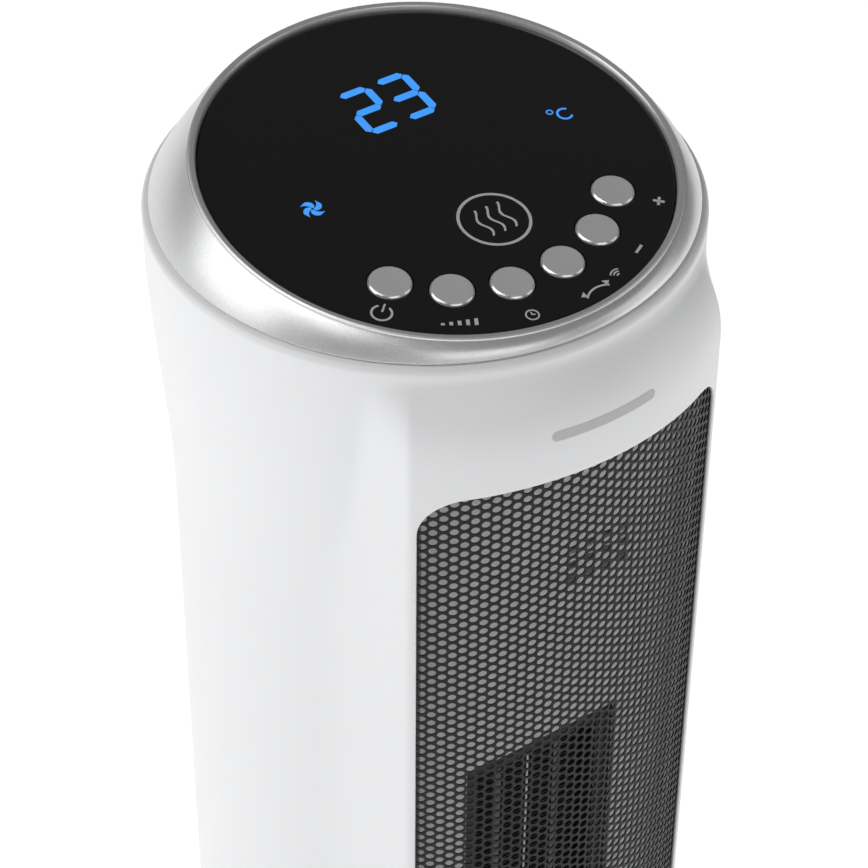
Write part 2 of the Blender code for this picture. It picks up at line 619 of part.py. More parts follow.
def fan(tower):
    low, high = WINDOW_BOTTOM - FRAME_EDGE, WINDOW_TOP + FRAME_EDGE
    mouth = BAFFLE_Y + BAFFLE_THICK + FRAME_DEEP + 3 * GAP
    centre = (0, FAN_Y)
    round_r = FAN_R + 7
    plate = [(-FRAME_HALF - 5, mouth), (FRAME_HALF + 5, mouth)] + arc(centre, round_r + 5, -10, 190, 14)
    ends = [prism(plate, low, low + SCROLL_FLOOR), prism(plate, high - SCROLL_FLOOR, high)]
    scroll = finish("fan_scroll", ends[0], tower, BLACK)
    combine(scroll, finish("scroll_roof", ends[1], tower), "UNION")
    volute = [(-FRAME_HALF + 2, mouth), (-FRAME_HALF - 1, -20)] + arc(centre, round_r, 200, 125, 7)
    tongue = [(FRAME_HALF - 2, mouth), (FRAME_HALF - 1, -20)] + arc(centre, FAN_R + 4, -20, 35, 6)
    for name, line in (("volute_wall", volute), ("tongue_wall", tongue)):
        wall = prism(strip(line, SCROLL_WALL), low + 0.5, high - 0.5)
        combine(scroll, finish(name, wall, tower), "UNION")
    legs = [block((x - 3, y - 3, BRACKET_TOP + GAP), (x + 3, y + 3, low + 1))
            for x in (-30, 30) for y in (-6, 26)]
    combine(scroll, finish("scroll_legs", merged(legs), tower), "UNION")
    seat = clear_of(BUSH_R, math.tau / MID_POLY)
    bores = [rod(8.0, low - 1, low + 5, centre), rod(seat, high - 5, high + 1, centre, MID_POLY)]
    combine(scroll, finish("scroll_bores", merged(bores), tower))

    bush = turned([(SHAFT_R + 0.4, high + 2.3), (BUSH_R + 3, high + 2.3), (BUSH_R + 3, high + GAP),
                   (BUSH_R, high + GAP), (BUSH_R, high - 3.5), (SHAFT_R + 0.4, high - 3.5)], MID_POLY, centre)
    finish("upper_bush", bush, tower, NYLON)

    y_low, y_high = FAN_Y - 20, FAN_Y + 20
    leg = BRACKET_HALF - 3
    foot = FLOOR_BOTTOM + FLOOR_THICK + GAP
    beam = BRACKET_TOP - 3
    arch = [(-BRACKET_HALF, foot), (-leg, foot), (-leg, beam), (leg, beam), (leg, foot), (BRACKET_HALF, foot),
            (BRACKET_HALF, BRACKET_TOP), (-BRACKET_HALF, BRACKET_TOP)]
    bracket = finish("motor_bracket", prism(arch, y_low, y_high, "Y"), tower, STEEL)
    combine(bracket, finish("bracket_bore", rod(8.5, BRACKET_TOP - 10, BRACKET_TOP + 5, centre), tower))

    top = BRACKET_TOP - 3 - GAP
    low_end = top - MOTOR_HIGH
    profile = [(SHAFT_R + 0.4, top + 2), (7.5, top + 2), (7.5, top), (MOTOR_R - 1, top), (MOTOR_R, top - 1),
               (MOTOR_R, low_end), (9, low_end - 2), (9, low_end - 6), (SHAFT_R + 0.4, low_end - 6)]
    finish("fan_motor", turned(profile, 28, centre), tower, STEEL)

    spinner = frame_at("impeller_axis", (0, FAN_Y, 0), tower)
    finish("fan_shaft", rod(SHAFT_R, low_end - 4, high + 1.5, steps=20), spinner, STEEL)
    impeller(spinner, low + SCROLL_FLOOR + 3.5, high - SCROLL_FLOOR - 7.5)


def impeller(spinner, low, high):
    """A long drum of forward-curved blades between two end discs and a middle ring."""
    drum = finish("impeller", tube(SHAFT_R + 0.4, FAN_R, low, low + 2, 28), spinner, BLACK)
    combine(drum, finish("impeller_cap", tube(SHAFT_R + 0.4, FAN_R, high - 2, high, 28), spinner), "UNION")
    middle = (low + high) / 2
    ring = tube(FAN_R - BLADE_DEEP - 1, FAN_R, middle - 1, middle + 1, 28)
    blades = []
    for i in range(BLADES):
        line = arc((FAN_R - BLADE_DEEP, -BLADE_DEEP * 0.75), BLADE_DEEP * 0.8, 15, 105, 2)
        blade = prism(strip(line, 0.9), low + 0.6, high - 0.6)
        blades.append(around(blade, math.tau * i / BLADES))
    combine(drum, finish("impeller_blades", merged(blades), spinner), "UNION")
    combine(drum, finish("impeller_ring", ring, spinner), "UNION")


# ---- rear of the tower ----

def intake(tower):
    body = frame_at("intake_slide", (0, 0, 0), tower)
    half = math.degrees(math.asin((INTAKE_HALF - GAP) / REAR_R))
    cover = curved_sheet(REAR_R - WALL, REAR_R, half + 4, INTAKE_BOTTOM + GAP, INTAKE_TOP - GAP, 1)
    cover = finish("intake_cover", cover, body, WHITE)
    sides = block((-INTAKE_HALF + GAP, 0, INTAKE_BOTTOM - 5), (INTAKE_HALF - GAP, BASE_R, INTAKE_TOP + 5))
    combine(cover, finish("intake_sides", sides, body), "INTERSECT")
    pitch = (INTAKE_TOP - INTAKE_BOTTOM - 16) / INTAKE_ROWS
    cuts = []
    for row in range(INTAKE_ROWS):
        z = INTAKE_BOTTOM + 8 + pitch * row + INTAKE_RIB / 2
        top = z + pitch - INTAKE_RIB
        for left in (-INTAKE_HALF + 6, 2):
            cuts.append(block((left, BASE_R / 4, z), (left + INTAKE_HALF - 8, BASE_R, top)))
    combine(cover, finish("intake_slots", merged(cuts), body))
    outer = REAR_R - WALL - 1
    half = math.degrees(math.asin((INTAKE_HALF - 2) / outer))
    screen = curved_sheet(outer - SCREEN_THICK, outer, half, INTAKE_BOTTOM + 4, INTAKE_TOP - 4, 1)
    finish("filter_screen", screen, body, MESH_BLACK)


def rocker_switch(tower):
    face = REAR_R + GAP
    wide, high = ROCKER_WIDE / 2, ROCKER_HIGH / 2

    def around_key(side, above, back, front, bevel=0.0):
        """A block that reaches past the key at each side and above and below it."""
        return block((-wide - side, face + back, ROCKER_Z - high - above),
                     (wide + side, face + front, ROCKER_Z + high + above), bevel)

    case = finish("rocker_housing", around_key(2, 2, -17, 0.5), tower, BLACK)
    combine(case, finish("rocker_rim", around_key(4.5, 4.5, 0, 1.5, 0.5), tower), "UNION")
    combine(case, finish("rocker_well", around_key(0.4, 0.8, -8, 5), tower))
    pivot = frame_at("rocker_pivot", (0, face - 3, ROCKER_Z), tower, ROCKER_TILT)
    line = [(-3.4, -high + 0.9), (2.5, -high + 0.4), (5.4, -high + 0.6), (4.2, 0), (5.4, high - 0.6),
            (2.5, high - 0.4), (-3.4, high - 0.9)]
    key = prism([(z, y) for y, z in line], -wide, wide, "Z")
    quarter = Matrix.Rotation(math.pi / 2, 3, "Y")
    bmesh.ops.rotate(key, cent=(0, 0, 0), matrix=quarter, verts=key.verts)
    finish("rear_rocker", key, pivot, BLACK)


def boards(tower):
    back = FAN_Y + 38
    top = BRACKET_TOP - 10
    foot = FLOOR_BOTTOM + FLOOR_THICK + SWING_MOTOR_HIGH + 4
    board = finish("power_board", block((-32, back, foot), (32, back + BOARD_THICK, top)), tower, BOARD)
    parts = [block((-26, back - 12, foot + 50), (-10, back + 0.5, foot + 72)),
             block((4, back - 9, foot + 52), (16, back + 0.5, foot + 78)),
             block((-24, back - 8, foot + 12), (-6, back + 0.5, foot + 34))]
    combine(board, finish("board_parts", merged(parts), tower), "UNION")


# ---- head: bezel, panel, buttons and display ----

def tilted_ring(radius, height):
    """A circle in the panel's own plane, lifted above it by a height."""
    ring = []
    for angle in plan_angles():
        flat = Vector((radius * math.sin(angle), -radius * math.cos(angle), height))
        flat.rotate(Matrix.Rotation(PANEL_TILT, 3, "X"))
        ring.append(tuple(flat + Vector((0, PANEL_Y, PANEL_HEIGHT))))
    return ring


def between(first, second, share, bulge=0.0):
    """A ring part of the way from one to another, pushed outwards by a bulge."""
    ring = []
    for a, b in zip(first, second):
        point = Vector(a).lerp(Vector(b), share)
        flat = Vector((point.x, point.y, 0)).normalized()
        ring.append(tuple(point + bulge * (flat + Vector((0, 0, 1)))))
    return ring


def bezel(tower):
    seam = PANEL_HEIGHT - SEAM_DROP
    turns = plan_angles()
    inner = clear_of(PANEL_R, max(b - a for a, b in zip(turns, turns[1:]) if b > a))
    lip = PANEL_R + LIP_WIDE
    start = tilted_ring(lip + 0.5, LIP_HIGH - 0.1)
    end = level_ring(SEAM_R, seam + 0.7)
    flank = [between(start, end, share, 0.5) for share in (0.33, 0.67)]
    rings = [tilted_ring(inner, -6), tilted_ring(inner, -0.3), tilted_ring(lip - 0.4, LIP_HIGH - 0.2),
             tilted_ring(lip, LIP_HIGH), start, *flank, end, level_ring(SEAM_R - 0.4, seam),
             level_ring(SEAM_R - RIM_WIDE - 2 * GAP, seam)]
    finish("bezel_ring", hoops(rings), tower, SILVER)


def button_spots():
    spots = []
    for i in range(len(BUTTON_NAMES)):
        angle = (i - (len(BUTTON_NAMES) - 1) / 2) * BUTTON_PITCH
        spots.append((BUTTON_RING_R * math.sin(angle), -BUTTON_RING_R * math.cos(angle)))
    return spots


def panel(plane):
    hole = BUTTON_R + 0.35
    lens = turned([(0, 0), (PANEL_R - 0.3, 0), (PANEL_R, -0.3), (PANEL_R, -PANEL_THICK), (0, -PANEL_THICK)],
                  HIGH_POLY)
    lens = finish("panel_lens", lens, plane, GLOSS)
    under = -PANEL_THICK - GAP
    deep = under - CARRIER_THICK
    tray = finish("panel_carrier", rod(PANEL_R - 0.2, deep, under, steps=HIGH_POLY), plane, BLACK)
    board_top = deep - BUTTON_FLANGE - BUTTON_TRAVEL - 2.4
    corners = ((-50, 12), (50, 12), (-24, 48), (24, 48))
    pillars = [rod(3, board_top + GAP, under - 1, spot) for spot in corners]
    combine(tray, finish("carrier_pillars", merged(pillars), plane), "UNION")
    for target, name in ((lens, "lens_holes"), (tray, "carrier_holes")):
        holes = [rod(hole, deep - 1, 2, spot, 20) for spot in button_spots()]
        combine(target, finish(name, merged(holes), plane))

    disc = rod(PANEL_R - 6, board_top - BOARD_THICK, board_top, steps=HIGH_POLY)
    board = finish("control_board", disc, plane, BOARD)
    low, high = board_top - 0.5, board_top + 0.8
    keys = [block((x - 3, y - 3, low), (x + 3, y + 3, high)) for x, y in button_spots()]
    combine(board, finish("board_keys", merged(keys), plane), "UNION")
    finish("display_module", block((-15, 15, board_top + GAP), (15, 41, deep - GAP), 0.5), plane, DISPLAY)

    for name, spot in zip(BUTTON_NAMES, button_spots()):
        seat = deep - GAP
        profile = [(0, BUTTON_PROUD), (BUTTON_R - 0.5, BUTTON_PROUD), (BUTTON_R, BUTTON_PROUD - 0.5),
                   (BUTTON_R, seat), (BUTTON_R + 1.2, seat), (BUTTON_R + 1.2, seat - BUTTON_FLANGE),
                   (0, seat - BUTTON_FLANGE)]
        finish(f"button_{name}", turned(profile, MID_POLY), plane, GREY, (*spot, 0))


def build():
    for old in list(bpy.data.objects):
        bpy.data.objects.remove(old)
    base_pieces()
    swivel_pieces()
    tilt_switch_pieces()
    tower = frame_at("swing_axis", (0, 0, 0))
    turntable(tower)
    swing_drive(tower)
    casing(tower)
    grille(tower)
    baffle(tower)
    heater(tower)
    fan(tower)
    intake(tower)
    rocker_switch(tower)
    boards(tower)
    bezel(tower)
    panel(frame_at("panel_plane", (0, PANEL_Y, PANEL_HEIGHT), tower, PANEL_TILT))


build()
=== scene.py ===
# %% [markdown]
# # A ceramic tower heater
#
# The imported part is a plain, working model of the heater: every piece has its size, its place and
# the body it moves with. This lesson gives it its looks. The frame is loaded first, because every
# visible piece is modelled around it and hangs on one of its bodies.

# %% The frame
import math

import bmesh
import bpy
from mathutils import Matrix, Vector


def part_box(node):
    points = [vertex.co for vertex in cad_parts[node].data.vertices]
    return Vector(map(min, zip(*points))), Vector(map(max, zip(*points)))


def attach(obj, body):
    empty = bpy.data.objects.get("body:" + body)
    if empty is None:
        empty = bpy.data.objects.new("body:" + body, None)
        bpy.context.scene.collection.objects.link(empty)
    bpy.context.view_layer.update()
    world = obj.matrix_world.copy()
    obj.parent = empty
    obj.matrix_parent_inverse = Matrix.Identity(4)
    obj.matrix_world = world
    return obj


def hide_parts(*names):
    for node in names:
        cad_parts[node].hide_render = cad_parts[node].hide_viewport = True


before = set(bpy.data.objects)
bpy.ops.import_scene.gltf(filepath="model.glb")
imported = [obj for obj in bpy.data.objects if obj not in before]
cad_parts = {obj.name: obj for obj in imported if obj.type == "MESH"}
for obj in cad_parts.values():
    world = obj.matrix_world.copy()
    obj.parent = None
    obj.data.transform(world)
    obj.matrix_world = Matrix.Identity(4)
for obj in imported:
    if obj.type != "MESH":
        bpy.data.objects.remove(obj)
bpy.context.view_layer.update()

scene = bpy.context.scene

# %% [markdown]
# ## Sizes
#
# A tower heater is drawn in millimetres, so the pieces are modelled in millimetres too, and each
# one is brought to metres when it is finished. The heights and radii below are the driving sizes.
# Whatever the frame already knows is read from it.

# %% Sizes in millimetres
MM = 0.001


def node_box(node):
    """Lowest and highest corner of a CAD node, in millimetres."""
    low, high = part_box(node)
    return [value / MM for value in low], [value / MM for value in high]


PANEL_HEIGHT = 565.0
PANEL_Y = -5.8
PANEL_R = 65.0
PANEL_TILT = math.radians(7.67)
BUTTON_R, BUTTON_RING_R, BUTTON_PROUD = 6.0, 48.0, 0.5
BUTTON_PITCH = math.radians(19.6)
BUTTON_NAMES = ("power", "heat", "timer", "swing", "minus", "plus")
LIP_WIDE, LIP_HIGH = 2.6, 1.65
SEAM_DROP, SEAM_R = 11.8, 75.9
HEAD_R, REAR_R, FRONT_R = 78.0, 73.2, 86.0
WALL = 2.5
RIM_WIDE = 2.9  # the casing's flat rim under the bezel
GAP = 0.3
BASE_R, BASE_TOP = 100.0, 30.0
shell_low, shell_high = node_box("main_shell")
print("casing from", round(shell_low[2]), "to", round(shell_high[2]), "mm above the floor")

# %% [markdown]
# ## Camera
#
# A long lens from the front left and well above the panel. The camera's place is given, and its three
# axes are worked out from two angles, so the view can be read as "34.6 degrees to the left of the
# front, 40.8 degrees up", with a trace of roll.

# %% Camera
CAMERA_AZIMUTH, CAMERA_ELEVATION = math.radians(-34.61), math.radians(40.81)
CAMERA_ROLL = math.radians(0.526)
CAMERA_PLACE = Vector((-388.49, -568.27, 1059.11))

lens_axis = Vector((math.sin(CAMERA_AZIMUTH) * math.cos(CAMERA_ELEVATION),
                    -math.cos(CAMERA_AZIMUTH) * math.cos(CAMERA_ELEVATION), math.sin(CAMERA_ELEVATION)))
level = Vector((math.cos(CAMERA_AZIMUTH), math.sin(CAMERA_AZIMUTH), 0))
upward = lens_axis.cross(level)
rolled = level * math.cos(CAMERA_ROLL) + upward * math.sin(CAMERA_ROLL)
bpy.ops.object.camera_add()
camera = bpy.context.object
camera.name = "camera"
camera.data.lens = 128.63
camera.data.sensor_width = 36
camera.data.clip_start, camera.data.clip_end = 0.01, 50
axes = Matrix((rolled, lens_axis.cross(rolled), lens_axis)).transposed()
camera.matrix_world = Matrix.Translation(CAMERA_PLACE * MM) @ axes.to_4x4()
scene.camera = camera
scene.view_settings.view_transform = "Standard"
print("camera at", [round(value, 3) for value in camera.location])

# %% [markdown]
# ## Shader sums as plain sums
#
# Procedural materials are mostly arithmetic. A node for every plus and times is hard to read, so a
# small class wraps a socket and lets Python's own operators add the Math nodes. A second class holds
# one material and has a single method for any other node: its type, its settings, its inputs.

# %% Wires and finishes
class Wire:
    """One output socket that can be used in a sum as if it were a number."""

    def __init__(self, finish, socket):
        self.finish = finish
        self.socket = socket

    def math(self, operation, *others):
        return self.finish.node("ShaderNodeMath", {"operation": operation}, None, self, *others)

    def __add__(self, other):
        return self.math("ADD", other)

    def __mul__(self, other):
        return self.math("MULTIPLY", other)

    def __rsub__(self, other):
        return self.finish.node("ShaderNodeMath", {"operation": "SUBTRACT"}, None, other, self)

    def __lt__(self, other):
        return self.math("LESS_THAN", other)

    def __gt__(self, other):
        return self.math("GREATER_THAN", other)


class Finish:
    """One material: a Principled shader and the nodes that feed it."""

    def __init__(self, name, colour, roughness, **constants):
        self.material = bpy.data.materials.new(name)
        self.material.use_nodes = True
        self.tree = self.material.node_tree
        self.shader = self.tree.nodes["Principled BSDF"]
        self.shader.inputs["Base Color"].default_value = (*colour, 1)
        self.shader.inputs["Roughness"].default_value = roughness
        for socket, value in constants.items():
            self.shader.inputs[socket.replace("_", " ")].default_value = value
        self.place = self.node("ShaderNodeTexCoord", {}, "Object")

    def plug(self, socket, value):
        """Set a socket to a number or colour, or link a wire to it."""
        if isinstance(value, Wire):
            self.tree.links.new(value.socket, socket)
        else:
            socket.default_value = value

    def node(self, kind, settings, output, *values, **named):
        """Add any node: settings first, then its inputs in order or by name. Returns one output."""
        made = self.tree.nodes.new(kind)
        for key, value in settings.items():
            setattr(made, key, value)
        for socket, value in zip(made.inputs, values):
            self.plug(socket, value)
        for name, value in named.items():
            self.plug(made.inputs[name.replace("_", " ")], value)
        return Wire(self, made.outputs[output] if output else made.outputs[0])

    def noise(self, scale, detail=2.0, place=None):
        return self.node("ShaderNodeTexNoise", {}, "Fac",
                         Vector=place or self.place, Scale=scale, Detail=detail)

    def blend(self, share, first, second):
        """A colour between two colours."""
        made = self.tree.nodes.new("ShaderNodeMix")
        made.data_type = "RGBA"
        for socket, value in ((made.inputs[0], share), (made.inputs[6], first), (made.inputs[7], second)):
            self.plug(socket, value if isinstance(value, (Wire, float)) else (*value, 1))
        return Wire(self, made.outputs[2])

    def axis(self, name, place=None):
        """The x, y or z of the place, in metres."""
        return self.node("ShaderNodeSeparateXYZ", {}, name, Vector=place or self.place)

    def stretched(self, x, y, z):
        """The place, stretched along each axis, for grain that runs one way."""
        return self.node("ShaderNodeMapping", {}, None, Vector=self.place, Scale=(x, y, z))

    def feed(self, **wires):
        for socket, wire in wires.items():
            self.plug(self.shader.inputs[socket.replace("_", " ")], wire)
        return self

    def bump(self, height, distance, strength=1.0):
        """Raise the surface by a height, without changing its outline."""
        self.feed(Normal=self.node("ShaderNodeBump", {}, "Normal", Height=height, Distance=distance,
                                   Strength=strength))
        return self


# %% [markdown]
# ## Plastics
#
# Moulded plastic is never one flat colour. Its skin carries a very fine grain from the mould, its
# tone drifts a little over a hand's width, and its gloss drifts with it. One recipe makes all of
# the plain plastics, from a colour, a roughness and the size and depth of the grain.

# %% Moulded plastics
def moulded(name, colour, roughness, grain=1500.0, depth=0.000012, drift=0.04, **constants):
    finish = Finish(name, colour, roughness, **constants)
    cloud = finish.noise(18.0)
    darker = tuple(value * (1 - drift) for value in colour)
    finish.feed(Base_Color=finish.blend(cloud, darker, colour),
                Roughness=finish.noise(240.0) * 0.07 + (roughness - 0.035))
    finish.bump(finish.noise(grain, 3.0), depth)
    return finish.material


WHITE = moulded("white_casing", (0.84, 0.845, 0.855), 0.36, drift=0.012,
                Coat_Weight=0.12, Coat_Roughness=0.25)
WHITE_BASE = moulded("white_base", (0.84, 0.845, 0.855), 0.33, drift=0.012,
                     Coat_Weight=0.15, Coat_Roughness=0.2)
BACK_GREY = moulded("grey_baffle", (0.80, 0.805, 0.81), 0.55, drift=0.03)
FLOOR_GREY = moulded("grey_turntable", (0.40, 0.405, 0.41), 0.55)
BLACK = moulded("black_moulding", (0.018, 0.018, 0.020), 0.48, depth=0.00003)
BLACK_SATIN = moulded("black_satin", (0.016, 0.016, 0.018), 0.3, grain=900.0, depth=0.00001)
NYLON = moulded("natural_nylon", (0.76, 0.74, 0.68), 0.42, drift=0.05, Subsurface_Weight=0.1,
                Subsurface_Scale=0.002)
RUBBER = moulded("foot_rubber", (0.028, 0.028, 0.030), 0.8, grain=700.0, depth=0.00006)
print("plastics:", len(bpy.data.materials), "materials")

# %% [markdown]
# ## Silver paint and grey caps
#
# The bezel is plastic with a metallic lacquer. Close to, the lacquer is a field of tiny flakes that
# lie at slightly different angles, so some sparkle while their neighbours are dull. Voronoi cells
# give each flake its own tone and tilt. The chamfer round each button cap catches real light, and a
# brighter, more metallic coat of the lacquer on it adds a painted highlight; the cap itself is plain matt
# plastic.

# %% Lacquers
def lacquered(name, colour, roughness, flake, sparkle, metallic):
    finish = Finish(name, colour, roughness, Metallic=metallic, Coat_Weight=0.25, Coat_Roughness=0.22)
    cell = finish.node("ShaderNodeTexVoronoi", {}, "Color", Vector=finish.place, Scale=flake)
    tone = finish.axis("X", cell)
    dull = tuple(value * (1 - sparkle) for value in colour)
    bright = tuple(min(1.0, value * (1 + sparkle)) for value in colour)
    finish.feed(Base_Color=finish.blend(tone, dull, bright),
                Roughness=finish.axis("Y", cell) * 0.12 + (roughness - 0.06))
    finish.bump(finish.axis("Z", cell), 0.000012, 0.6)
    return finish.material


SILVER = lacquered("silver_bezel", (0.78, 0.785, 0.79), 0.34, 4200.0, 0.07, 0.68)
CAP_GREY = moulded("button_cap", (0.52, 0.52, 0.525), 0.62, grain=2600.0, depth=0.000015)
# painted highlight: a brighter, more metallic lacquer for the key chamfers, which also catch real light
CAP_RIM_PAINTED_HIGHLIGHT = lacquered("button_rim_painted_highlight", (0.80, 0.80, 0.81), 0.25, 3200.0, 0.06, 0.8)

# %% [markdown]
# ## The panel's gloss, its light and its print
#
# The panel is a black lens over the display. Its polish shows by what it reflects, and only a faint
# unevenness and a little dust break it. Lit signs glow through it and the printed ones are silk
# screened in grey, a little uneven where the ink is thin.

# %% Panel finishes
def glossy_black():
    finish = Finish("panel_gloss", (0.004, 0.004, 0.0045), 0.05, Coat_Weight=0.35, Coat_Roughness=0.03)
    dust = finish.noise(900.0, 4.0).math("POWER", 6.0)
    finish.feed(Base_Color=finish.blend(dust * 0.2, (0.004, 0.004, 0.0045), (0.05, 0.05, 0.055)),
                Roughness=finish.noise(30.0) * 0.05 + 0.035)
    return finish.material


def lit(name, colour, strength):
    unlit = tuple(value * 0.06 for value in colour)
    finish = Finish(name, unlit, 0.6, Emission_Strength=strength, Specular_IOR_Level=0.1)
    cloud = finish.noise(260.0)
    core = tuple(min(1.0, value * 1.2 + 0.02) for value in colour)
    finish.feed(Emission_Color=finish.blend(cloud, colour, core))
    return finish.material


def printed(name, colour):
    finish = Finish(name, colour, 0.45)
    thin = tuple(value * 0.8 for value in colour)
    finish.feed(Base_Color=finish.blend(finish.noise(2200.0), thin, colour))
    return finish.material


PANEL_GLOSS = glossy_black()
LED_BLUE = lit("led_blue", (0.045, 0.29, 0.90), 1.0)
INK = printed("panel_ink", (0.66, 0.66, 0.67))
PALE_INK = printed("front_ink", (0.60, 0.60, 0.61))

# %% [markdown]
# ## Metals, boards and the filter
#
# Sheet steel shows the direction in which it was rolled, so its grain is noise stretched along one
# axis. The perforated front is painted black over steel. Heater fins go dull and slightly brown in
# use, the ceramic stones sit in aluminium sleeves that heat has dulled, and the boards carry copper
# tracks under a green mask. The filter is a woven net: two waves combined give its threads.

# %% Metals
def rolled_metal(name, colour, roughness, metallic=1.0, tint=0.1):
    finish = Finish(name, colour, roughness, Metallic=metallic)
    grain = finish.noise(420.0, 3.0, finish.stretched(0.08, 1.0, 1.0))
    dull = tuple(value * (1 - tint) for value in colour)
    finish.feed(Base_Color=finish.blend(finish.noise(35.0), dull, colour),
                Roughness=grain * 0.16 + (roughness - 0.08))
    finish.bump(grain, 0.00001)
    return finish.material


def fin_metal():
    finish = Finish("fin_metal", (0.10, 0.10, 0.10), 0.42, Metallic=0.85)
    heat = finish.noise(60.0)
    finish.feed(Base_Color=finish.blend(heat, (0.035, 0.034, 0.033), (0.085, 0.083, 0.08)),
                Roughness=finish.noise(500.0) * 0.2 + 0.32)
    return finish.material


STEEL = rolled_metal("plain_steel", (0.56, 0.56, 0.58), 0.32)
SLEEVE = rolled_metal("bar_sleeve", (0.17, 0.165, 0.155), 0.42, 0.9, 0.2)
MESH_PAINT = moulded("mesh_paint", (0.009, 0.009, 0.010), 0.5, depth=0.000008, drift=0.3,
                     Specular_IOR_Level=0.25)
FINS = fin_metal()


# %% Boards and filter
def board_green():
    finish = Finish("circuit_board", (0.02, 0.12, 0.06), 0.4)
    track = (finish.axis("X") * 2500.0).math("SINE") * (finish.axis("Z") * 1800.0).math("SINE")
    finish.feed(Base_Color=finish.blend(track > 0.35, (0.012, 0.09, 0.045), (0.04, 0.20, 0.09)))
    finish.bump(track > 0.35, 0.00003)
    return finish.material


def filter_net():
    finish = Finish("filter_net", (0.02, 0.02, 0.022), 0.6)
    pitch = math.tau / 0.0014
    net = (finish.axis("X") * pitch).math("SINE").math("ABSOLUTE").math(
        "MINIMUM", (finish.axis("Z") * pitch).math("SINE").math("ABSOLUTE"))
    finish.feed(Base_Color=finish.blend(net < 0.45, (0.004, 0.004, 0.004), (0.045, 0.045, 0.048)))
    finish.bump(1 - net, 0.0002)
    return finish.material


BOARD = board_green()
FILTER = filter_net()
DISPLAY = moulded("display_window", (0.02, 0.05, 0.12), 0.2, depth=0.000005)
print("materials:", len(bpy.data.materials))

# %% [markdown]
# ## Modelling helpers
#
# Each helper is what a person does by hand: leave edit mode and deselect everything, add something,
# go into edit mode, and pick faces or edges by where they are.

# %% Hands
def alone(piece=None):
    """Object mode, with nothing selected but this piece."""
    if bpy.context.object and bpy.context.object.mode != "OBJECT":
        bpy.ops.object.mode_set(mode="OBJECT")
    bpy.ops.object.select_all(action="DESELECT")
    if piece:
        piece.select_set(True)
        bpy.context.view_layer.objects.active = piece
    return piece


def edit(piece, mode="VERT"):
    """Edit mode with nothing selected."""
    alone(piece)
    bpy.ops.object.mode_set(mode="EDIT")
    bpy.ops.mesh.select_mode(type=mode)
    bpy.ops.mesh.select_all(action="DESELECT")


def pick(piece, kind, test):
    """Select the verts, edges or faces that pass a test."""
    mesh = bmesh.from_edit_mesh(piece.data)
    chosen = [part for part in getattr(mesh, kind) if test(part)]
    for part in chosen:
        part.select_set(True)
    bmesh.update_edit_mesh(piece.data)
    return len(chosen)


def closed(piece):
    """Merge doubled vertices and turn every face outwards."""
    edit(piece)
    bpy.ops.mesh.select_all(action="SELECT")
    bpy.ops.mesh.remove_doubles(threshold=0.0005)
    bpy.ops.mesh.normals_make_consistent(inside=False)
    return alone(piece)


def modify(piece, kind, **settings):
    """Add a modifier and apply it."""
    alone(piece)
    bpy.ops.object.modifier_add(type=kind)
    added = piece.modifiers[-1]
    for key, value in settings.items():
        setattr(added, key, value)
    bpy.ops.object.modifier_apply(modifier=added.name)
    return piece


def cut(piece, cutter, operation="DIFFERENCE"):
    """Cut one piece with another, which is then thrown away."""
    modify(piece, "BOOLEAN", operation=operation, solver="EXACT", object=cutter)
    bpy.data.objects.remove(cutter)
    return piece


def joined(pieces):
    """Several objects as one."""
    alone(pieces[0])
    for piece in pieces:
        piece.select_set(True)
    bpy.ops.object.join()
    return bpy.context.object


# %% [markdown]
# ## Spun, lofted and pulled shapes
#
# Three ways cover nearly every piece. A round piece is a profile spun about its axis. A piece whose
# section changes, such as the casing, is a circle that is extruded upwards again and again, each new
# ring set to its own outline. A flat piece is an outline, filled and pulled.

# %% Spun, lofted and pulled
def arc(centre, radius, start, end, steps):
    """Points on a circle, from one angle to another in degrees."""
    turn = [math.radians(start + (end - start) * i / steps) for i in range(steps + 1)]
    return [(centre[0] + radius * math.cos(a), centre[1] + radius * math.sin(a)) for a in turn]


def spun(profile, steps=128, centre=(0, 0)):
    """A profile of (radius, height) corners, drawn vertex after vertex and spun about the vertical."""
    alone()
    bpy.ops.mesh.primitive_plane_add(size=1, enter_editmode=True)
    bpy.ops.mesh.merge(type="CENTER")
    x, z = profile[0]
    bpy.ops.transform.translate(value=(x, 0, z))
    for next_x, next_z in profile[1:]:
        bpy.ops.mesh.extrude_vertices_move(TRANSFORM_OT_translate={"value": (next_x - x, 0, next_z - z)})
        x, z = next_x, next_z
    bpy.ops.mesh.select_all(action="SELECT")
    bpy.ops.mesh.spin(steps=steps, angle=math.tau, center=(0, 0, 0), axis=(0, 0, 1))
    bpy.ops.mesh.select_all(action="SELECT")
    bpy.ops.transform.translate(value=(centre[0], centre[1], 0))
    return closed(bpy.context.object)


def set_ring(piece, ring):
    """Put the selected vertices on a ring's points, by their order round it."""
    mesh = bmesh.from_edit_mesh(piece.data)
    order = mesh.verts.layers.int["order"]
    for corner in mesh.verts:
        if corner.select:
            corner.co = ring[corner[order]]
    bmesh.update_edit_mesh(piece.data)


def lofted(rings, caps=False):
    """A circle extruded ring by ring. Without caps the last ring meets the first again."""
    alone()
    bpy.ops.mesh.primitive_circle_add(vertices=len(rings[0]), radius=1, enter_editmode=True)
    piece = bpy.context.object
    mesh = bmesh.from_edit_mesh(piece.data)
    order = mesh.verts.layers.int.new("order")
    for i, corner in enumerate(mesh.verts):
        corner[order] = i
    bmesh.update_edit_mesh(piece.data)
    set_ring(piece, rings[0])
    if caps:
        bpy.ops.mesh.edge_face_add()
    for ring in rings[1:] if caps else rings[1:] + rings[:1]:
        if caps:
            bpy.ops.mesh.extrude_region_move()
        else:
            bpy.ops.mesh.extrude_edges_move()
        set_ring(piece, ring)
    return closed(piece)


